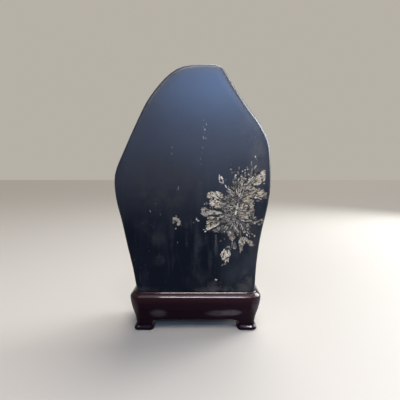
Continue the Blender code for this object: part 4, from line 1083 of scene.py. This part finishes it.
def stone_finish():
    """Polished black limestone: smears, streaks, a haze low at the right, and a bluish sheen painted on the
    upper half.
    """
    finish = Finish("polished_black_limestone", Specular_IOR_Level=0.16, Coat_IOR=1.8, Coat_Roughness=0.39)
    finish.shader.inputs["Specular Tint"].default_value = (0.55, 0.76, 1.0, 1.0)
    x, y, z = finish.axes()
    front = 1 - y.between(-0.018, -0.006)
    facing = (0 - finish.facing("y")).between(0.25, 0.75)
    broad = finish.clouds(14, 4.0, 0.55)
    smears = finish.clouds(34, 5.0, 0.62, stretch=(1.0, 1.0, 0.6), shift=(0.2, 0.1, 0.4), warp=0.8)
    streaks = finish.clouds(70, 4.0, 0.6, stretch=(1.0, 1.0, 0.16), warp=0.5)
    fine = finish.clouds(420, 3.0, 0.6)
    colour = finish.mixed(broad.between(0.35, 0.7), (0.0012, 0.0017, 0.0060), (0.0032, 0.0040, 0.0100))
    colour = finish.mixed(smears.between(0.50, 0.72) * 0.5, colour, (0.019, 0.019, 0.022))
    colour = finish.mixed(streaks.between(0.50, 0.74) * 0.7, colour, (0.020, 0.022, 0.027))
    thin = 0.3 + 0.7 * finish.clouds(40, 5.0, 0.62).between(0.3, 0.65)
    haze = finish.around(x, z, (70, 100), (44, 80)) * thin
    colour = finish.mixed(haze * front, colour, (0.022, 0.025, 0.033))
    # Painted sheen: a bluish grey that grows towards the top of the stone stands in for the light reflected
    # on the upper face.
    painted_sheen = z.between(0.12, 0.27) * (0.54 + 0.62 * finish.clouds(26, 5.0, 0.62, shift=(0.3, 0, 0), warp=0.6))
    colour = finish.mixed(painted_sheen, colour, (0.034, 0.041, 0.062))
    for centre, radii, strength, tone in (
        ((-45, 124), (13, 11), 0.8, (0.026, 0.024, 0.026)),
        ((-44, 95), (11, 10), 0.7, (0.026, 0.024, 0.026)), ((8, 112), (7, 30), 0.7, (0.024, 0.027, 0.034)),
        ((32, 116), (4, 18), 0.8, (0.036, 0.038, 0.046)), ((24, 96), (4, 16), 0.6, (0.024, 0.025, 0.030)),
        ((-7, 128), (3, 22), 0.7, (0.030, 0.031, 0.038)), ((-27, 130), (5, 24), 0.5, (0.026, 0.026, 0.032)),
        ((71, 66), (12, 22), 0.9, (0.066, 0.068, 0.060)), ((60, 60), (26, 8), 0.7, (0.044, 0.042, 0.042)),
        ((-56, 48), (52, 14), 0.75, (0.054, 0.052, 0.054)), ((34, 55), (36, 7), 0.8, (0.066, 0.062, 0.062)),
        ((32, 62), (16, 8), 0.6, (0.042, 0.041, 0.042)), ((-40, 196), (66, 46), 0.7, (0.028, 0.027, 0.027)),
        ((-58, 210), (26, 40), 0.3, (0.028, 0.027, 0.030)),
        # The two pale patches at the right edge, at (80, 262) and (86, 222), are painted reflection: a
        # lighter band where the edge catches the light.
        ((80, 262), (24, 34), 0.6, (0.075, 0.078, 0.084)), ((86, 222), (16, 40), 0.8, (0.074, 0.070, 0.072)),
        ((58, 158), (34, 44), 0.9, (0.050, 0.047, 0.045)), ((84, 120), (12, 40), 0.4, (0.040, 0.040, 0.042)),
    ):
        patch = finish.around(x, z, centre, radii) * finish.clouds(75, 5.0, 0.68).between(0.34, 0.66)
        colour = finish.mixed(patch * front * strength, colour, tone)
    rear = 1 - front
    worn = finish.clouds(45, 6.0, 0.7, warp=0.6).between(0.42, 0.72)
    colour = finish.mixed(rear * worn * 0.55, colour, (0.030, 0.032, 0.037))
    vein = finish.clouds(9, 4.0, 0.55, shift=(0.7, 0.2, 0.1), warp=1.5)
    vein = 1 - ((vein - 0.5) * (vein - 0.5) * 900).between(0.0, 0.35)
    broken = finish.clouds(60, 3.0, 0.6).between(0.45, 0.7)
    colour = finish.mixed(rear * vein * broken * 0.6, colour, (0.13, 0.13, 0.13))
    specks = 1 - finish.cells(170).between(0.06, 0.17)
    specks = specks * finish.clouds(26, 2.0, 0.5).between(0.50, 0.68)
    colour = finish.mixed(specks * 0.5, colour, (0.085, 0.090, 0.105))
    hairs = finish.clouds(300, 2.0, 0.5, stretch=(1.0, 1.0, 0.06), shift=(0.1, 0, 0)).between(0.70, 0.76)
    colour = finish.mixed(hairs * 0.35, colour, (0.060, 0.062, 0.070))
    finish.feed("Base Color", colour)
    rough = 0.35 + 0.10 * finish.clouds(26, 4.0, 0.6) + 0.08 * fine + 0.14 * rear
    finish.feed("Roughness", rough - 0.18 * (1 - facing) * front * x.between(0.010, 0.050))
    finish.feed("Coat Weight", z.between(0.125, 0.335) * facing * 0.9)
    waves = finish.clouds(38, 2.0, 0.5)
    grain = finish.clouds(900, 2.0, 0.5)
    finish.feed("Normal", finish.bump(waves * 0.8 + grain * 0.06 + rear * worn * 0.5, 0.25, 0.0012))
    return finish.material


def crystal_finish():
    """Pale crystal, grey to tan, shaded by each crystal's own attribute."""
    finish = Finish("pale_crystal", Specular_IOR_Level=0.35)
    tint = finish.node("ShaderNodeAttribute", {"attribute_name": "crystal"})
    pale, warm, odd = finish.split("ShaderNodeSeparateColor", tint)
    fibres = finish.clouds(700, 3.0, 0.6, warp=0.8)
    blotches = finish.clouds(230, 4.0, 0.65, warp=0.5)
    level = pale * (1 + (fibres - 0.5) * 0.8 + (blotches - 0.5) * 1.0)
    cool = finish.node("ShaderNodeValToRGB", {"stops": (
        (0.0, (0.006, 0.006, 0.008)), (0.30, (0.044, 0.044, 0.047)), (0.6, (0.19, 0.185, 0.180)),
        (0.85, (0.40, 0.388, 0.372)), (1.0, (0.62, 0.605, 0.585)))}, (level,))
    tan = finish.node("ShaderNodeValToRGB", {"stops": (
        (0.0, (0.009, 0.007, 0.006)), (0.30, (0.056, 0.045, 0.033)), (0.6, (0.225, 0.183, 0.128)),
        (0.85, (0.44, 0.375, 0.275)), (1.0, (0.62, 0.560, 0.450)))}, (level,))
    finish.feed("Base Color", finish.mixed(warm + (odd - 0.5) * 0.2, cool, tan))
    finish.feed("Roughness", 0.34 + 0.25 * fibres)
    finish.feed("Normal", finish.bump(fibres + blotches, 0.35, 0.0004))
    return finish.material


def rosewood_finish():
    """Glossy dark rosewood with fine grain and pores, and soft highlights painted on the belly and at both
    ends.
    """
    finish = Finish("glossy_rosewood", Specular_IOR_Level=0.12, Coat_Roughness=0.09, Coat_IOR=1.6)
    finish.shader.inputs["Specular Tint"].default_value = (1.0, 0.62, 0.80, 1.0)
    finish.shader.inputs["Coat Tint"].default_value = (1.0, 0.93, 0.94, 1.0)
    grain = finish.clouds(70, 6.0, 0.62, stretch=(0.16, 1.0, 1.6), warp=1.2)
    lines = finish.clouds(420, 3.0, 0.6, stretch=(0.05, 1.0, 1.0), warp=0.3)
    pores = finish.clouds(1500, 2.0, 0.5, stretch=(0.06, 1.0, 1.0))
    colour = finish.node("ShaderNodeValToRGB", {"stops": (
        (0.0, (0.0012, 0.0005, 0.0024)), (0.42, (0.0036, 0.0008, 0.0040)),
        (0.60, (0.0092, 0.0022, 0.0060)), (0.85, (0.028, 0.0075, 0.011)))}, (grain * 0.75 + lines * 0.25,))
    x, _, z = finish.axes()
    # Painted highlights: pale patches on the front of the belly and at both ends stand in for soft
    # reflections.
    for centre, radii, tone in (
        ((-44.5, 25.0), (14, 7.5), (0.072, 0.064, 0.070)), ((36.0, 25.0), (22, 6.0), (0.078, 0.070, 0.077)),
        ((52.0, 26.0), (17, 6.0), (0.125, 0.116, 0.122)), ((-78, 34), (9, 16), (0.060, 0.052, 0.060)),
        ((86, 36), (9, 16), (0.060, 0.052, 0.060)),
    ):
        painted_gloss = finish.clouds(95, 4.0, 0.6, stretch=(0.6, 1.0, 1.6), shift=(0.4, 0.1, 0.3)).between(0.10, 0.58)
        colour = finish.mixed(finish.around(x, z, centre, radii) * painted_gloss * 0.7, colour, tone)
    # Painted reflection: the shoulder and rim above 34 mm are painted lighter and redder, as the upper
    # surfaces catch the room's light.
    colour = finish.mixed(z.between(0.034, 0.050) * 0.7, colour, (0.036, 0.013, 0.014))
    colour = finish.mixed((1 - pores.between(0.30, 0.44)) * 0.6, colour, (0.002, 0.0010, 0.0014))
    finish.feed("Base Color", colour)
    finish.feed("Roughness", 0.26 + 0.16 * lines + 0.10 * finish.clouds(40, 3.0, 0.5))
    polish = finish.facing("z").between(0.44, 0.64) * (0.60 + 0.40 * z.between(0.012, 0.030))
    finish.feed("Coat Weight", polish * (0.75 + 0.25 * finish.clouds(60, 3.0, 0.5)))
    finish.feed("Normal", finish.bump(pores * 0.5 + lines * 0.5, 0.12, 0.0004))
    return finish.material


def dress(piece, material, *replaced, slot):
    """Give a piece its material, hide the solids that it stands for, and hang it from the root; the slot is
    not used.
    """
    piece.data.materials.clear()
    piece.data.materials.append(material)
    if replaced:
        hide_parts(*replaced)
    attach(piece, "root")


# The studio

FLOOR_SIZE = 60.0
FLOOR_COLOUR = (0.60, 0.56, 0.50)
BACKDROP = (0.47, 0.44, 0.385)
# The light from all round, and the camera's place, its tilt down in degrees, and its lens and sensor in mm.
ROUND_LIGHT = (1.0, 0.97, 0.94)
ROUND_STRENGTH = 0.16
EYE = (0.0107, -0.4236, 0.2044)
TILT_DOWN = 4.2
LENS = 27.0
SENSOR = 36.0


def plain(name, colour, roughness):
    """A material of one colour."""
    material = bpy.data.materials.new(name)
    material.use_nodes = True
    shader = material.node_tree.nodes["Principled BSDF"]
    shader.inputs["Base Color"].default_value = (*colour, 1.0)
    shader.inputs["Roughness"].default_value = roughness
    return material


def studio():
    """A pale floor, and a world that lights softly but is seen as a plain backdrop."""
    nothing_selected()
    bpy.ops.mesh.primitive_plane_add(size=FLOOR_SIZE, location=(0, 0, 0))
    floor = bpy.context.object
    floor.name = "floor"
    floor.data.materials.append(plain("pale_floor", FLOOR_COLOUR, 0.6))
    world = bpy.data.worlds.new("studio")
    bpy.context.scene.world = world
    world.use_nodes = True
    tree = world.node_tree
    back = tree.nodes["Background"]
    seen = tree.nodes.new("ShaderNodeBackground")
    seen.inputs["Color"].default_value = (*BACKDROP, 1)
    seen.inputs["Strength"].default_value = 1.0
    back.inputs["Color"].default_value = (*ROUND_LIGHT, 1)
    back.inputs["Strength"].default_value = ROUND_STRENGTH
    path = tree.nodes.new("ShaderNodeLightPath")
    mix = tree.nodes.new("ShaderNodeMixShader")
    tree.links.new(path.outputs["Is Camera Ray"], mix.inputs[0])
    tree.links.new(back.outputs[0], mix.inputs[1])
    tree.links.new(seen.outputs[0], mix.inputs[2])
    tree.links.new(mix.outputs[0], tree.nodes["World Output"].inputs["Surface"])


def lamp(name, kind, place, goal, power, colour):
    """A light that looks from a place to a goal. It is returned for the settings of its own kind."""
    light = bpy.data.lights.new(name, kind)
    light.energy = power
    light.color = colour
    holder = bpy.data.objects.new(name, light)
    holder.location = place
    holder.rotation_euler = (Vector(goal) - Vector(place)).to_track_quat("-Z", "Y").to_euler()
    bpy.context.scene.collection.objects.link(holder)
    return light


def soft_light(name, place, goal, size, power, colour):
    """An oblong light panel."""
    light = lamp(name, "AREA", place, goal, power, colour)
    light.shape = "RECTANGLE"
    light.size, light.size_y = size


def spot_light(name, place, goal, cone, power, colour):
    """A light with a soft cone, its width in degrees."""
    light = lamp(name, "SPOT", place, goal, power, colour)
    light.spot_size = math.radians(cone)
    light.spot_blend = 1.0
    light.shadow_soft_size = 0.06


def sun(name, direction, angle, strength, colour):
    """Daylight from a direction, as wide in degrees as the part of the sky that it comes from."""
    light = lamp(name, "SUN", (0, 0, 0), -Vector(direction), strength, colour)
    light.angle = math.radians(angle)


def camera():
    """The camera, where the photograph was taken from."""
    lens = bpy.data.cameras.new("camera")
    lens.lens = LENS
    lens.sensor_width = SENSOR
    lens.clip_start = 0.01
    eye = bpy.data.objects.new("camera", lens)
    eye.location = EYE
    eye.rotation_euler = (math.radians(90 - TILT_DOWN), 0, 0)
    bpy.context.scene.collection.objects.link(eye)
    bpy.context.scene.camera = eye


camera()
slab = stone_slab()
bed = Bed(slab)
stand = carved_stand()
crystals = flower(bed)
dress(slab, stone_finish(), "stone", slot="polished_black_stone")
dress(stand, rosewood_finish(), "stand", slot="rosewood")
pale_crystal = crystal_finish()
for piece in crystals:
    dress(piece, pale_crystal, slot="polished_black_stone")
studio()
soft_light("sky", (0.25, -2.0, 1.25), (0.0, 0.0, 0.33), (0.5, 0.35), 12.6, (0.24, 0.48, 1.0))
soft_light("overhead", (0.15, -0.45, 1.5), (0.0, 0.0, 0.2), (1.5, 0.8), 3.2, (0.86, 0.88, 1.0))
soft_light("strip", (0.03, -0.55, 1.05), (0.0, -0.04, 0.05), (0.50, 0.07), 2.6, (1.0, 0.92, 0.89))
soft_light("left_fill", (-0.48, -0.62, 0.86), (-0.07, -0.035, 0.01), (0.14, 0.14), 0.8, (1.0, 0.95, 0.93))
soft_light("side", (1.25, -0.15, 1.15), (0.05, 0.0, 0.27), (0.5, 0.8), 2.2, (0.80, 0.90, 1.0))
soft_light("window", (1.32, 0.62, 0.82), (0.05, 0.0, 0.27), (0.8, 1.1), 25.0, (0.90, 0.95, 1.0))
sun("daylight", (0.25, 0.55, 1.0), 40.0, 1.8, (1.0, 0.97, 0.93))
spot_light("flower_light", (0.45, -1.25, 1.35), (0.052, -0.03, 0.155), 9.0, 69.0, (1.0, 0.97, 0.92))
bpy.context.scene.view_settings.view_transform = "Standard"
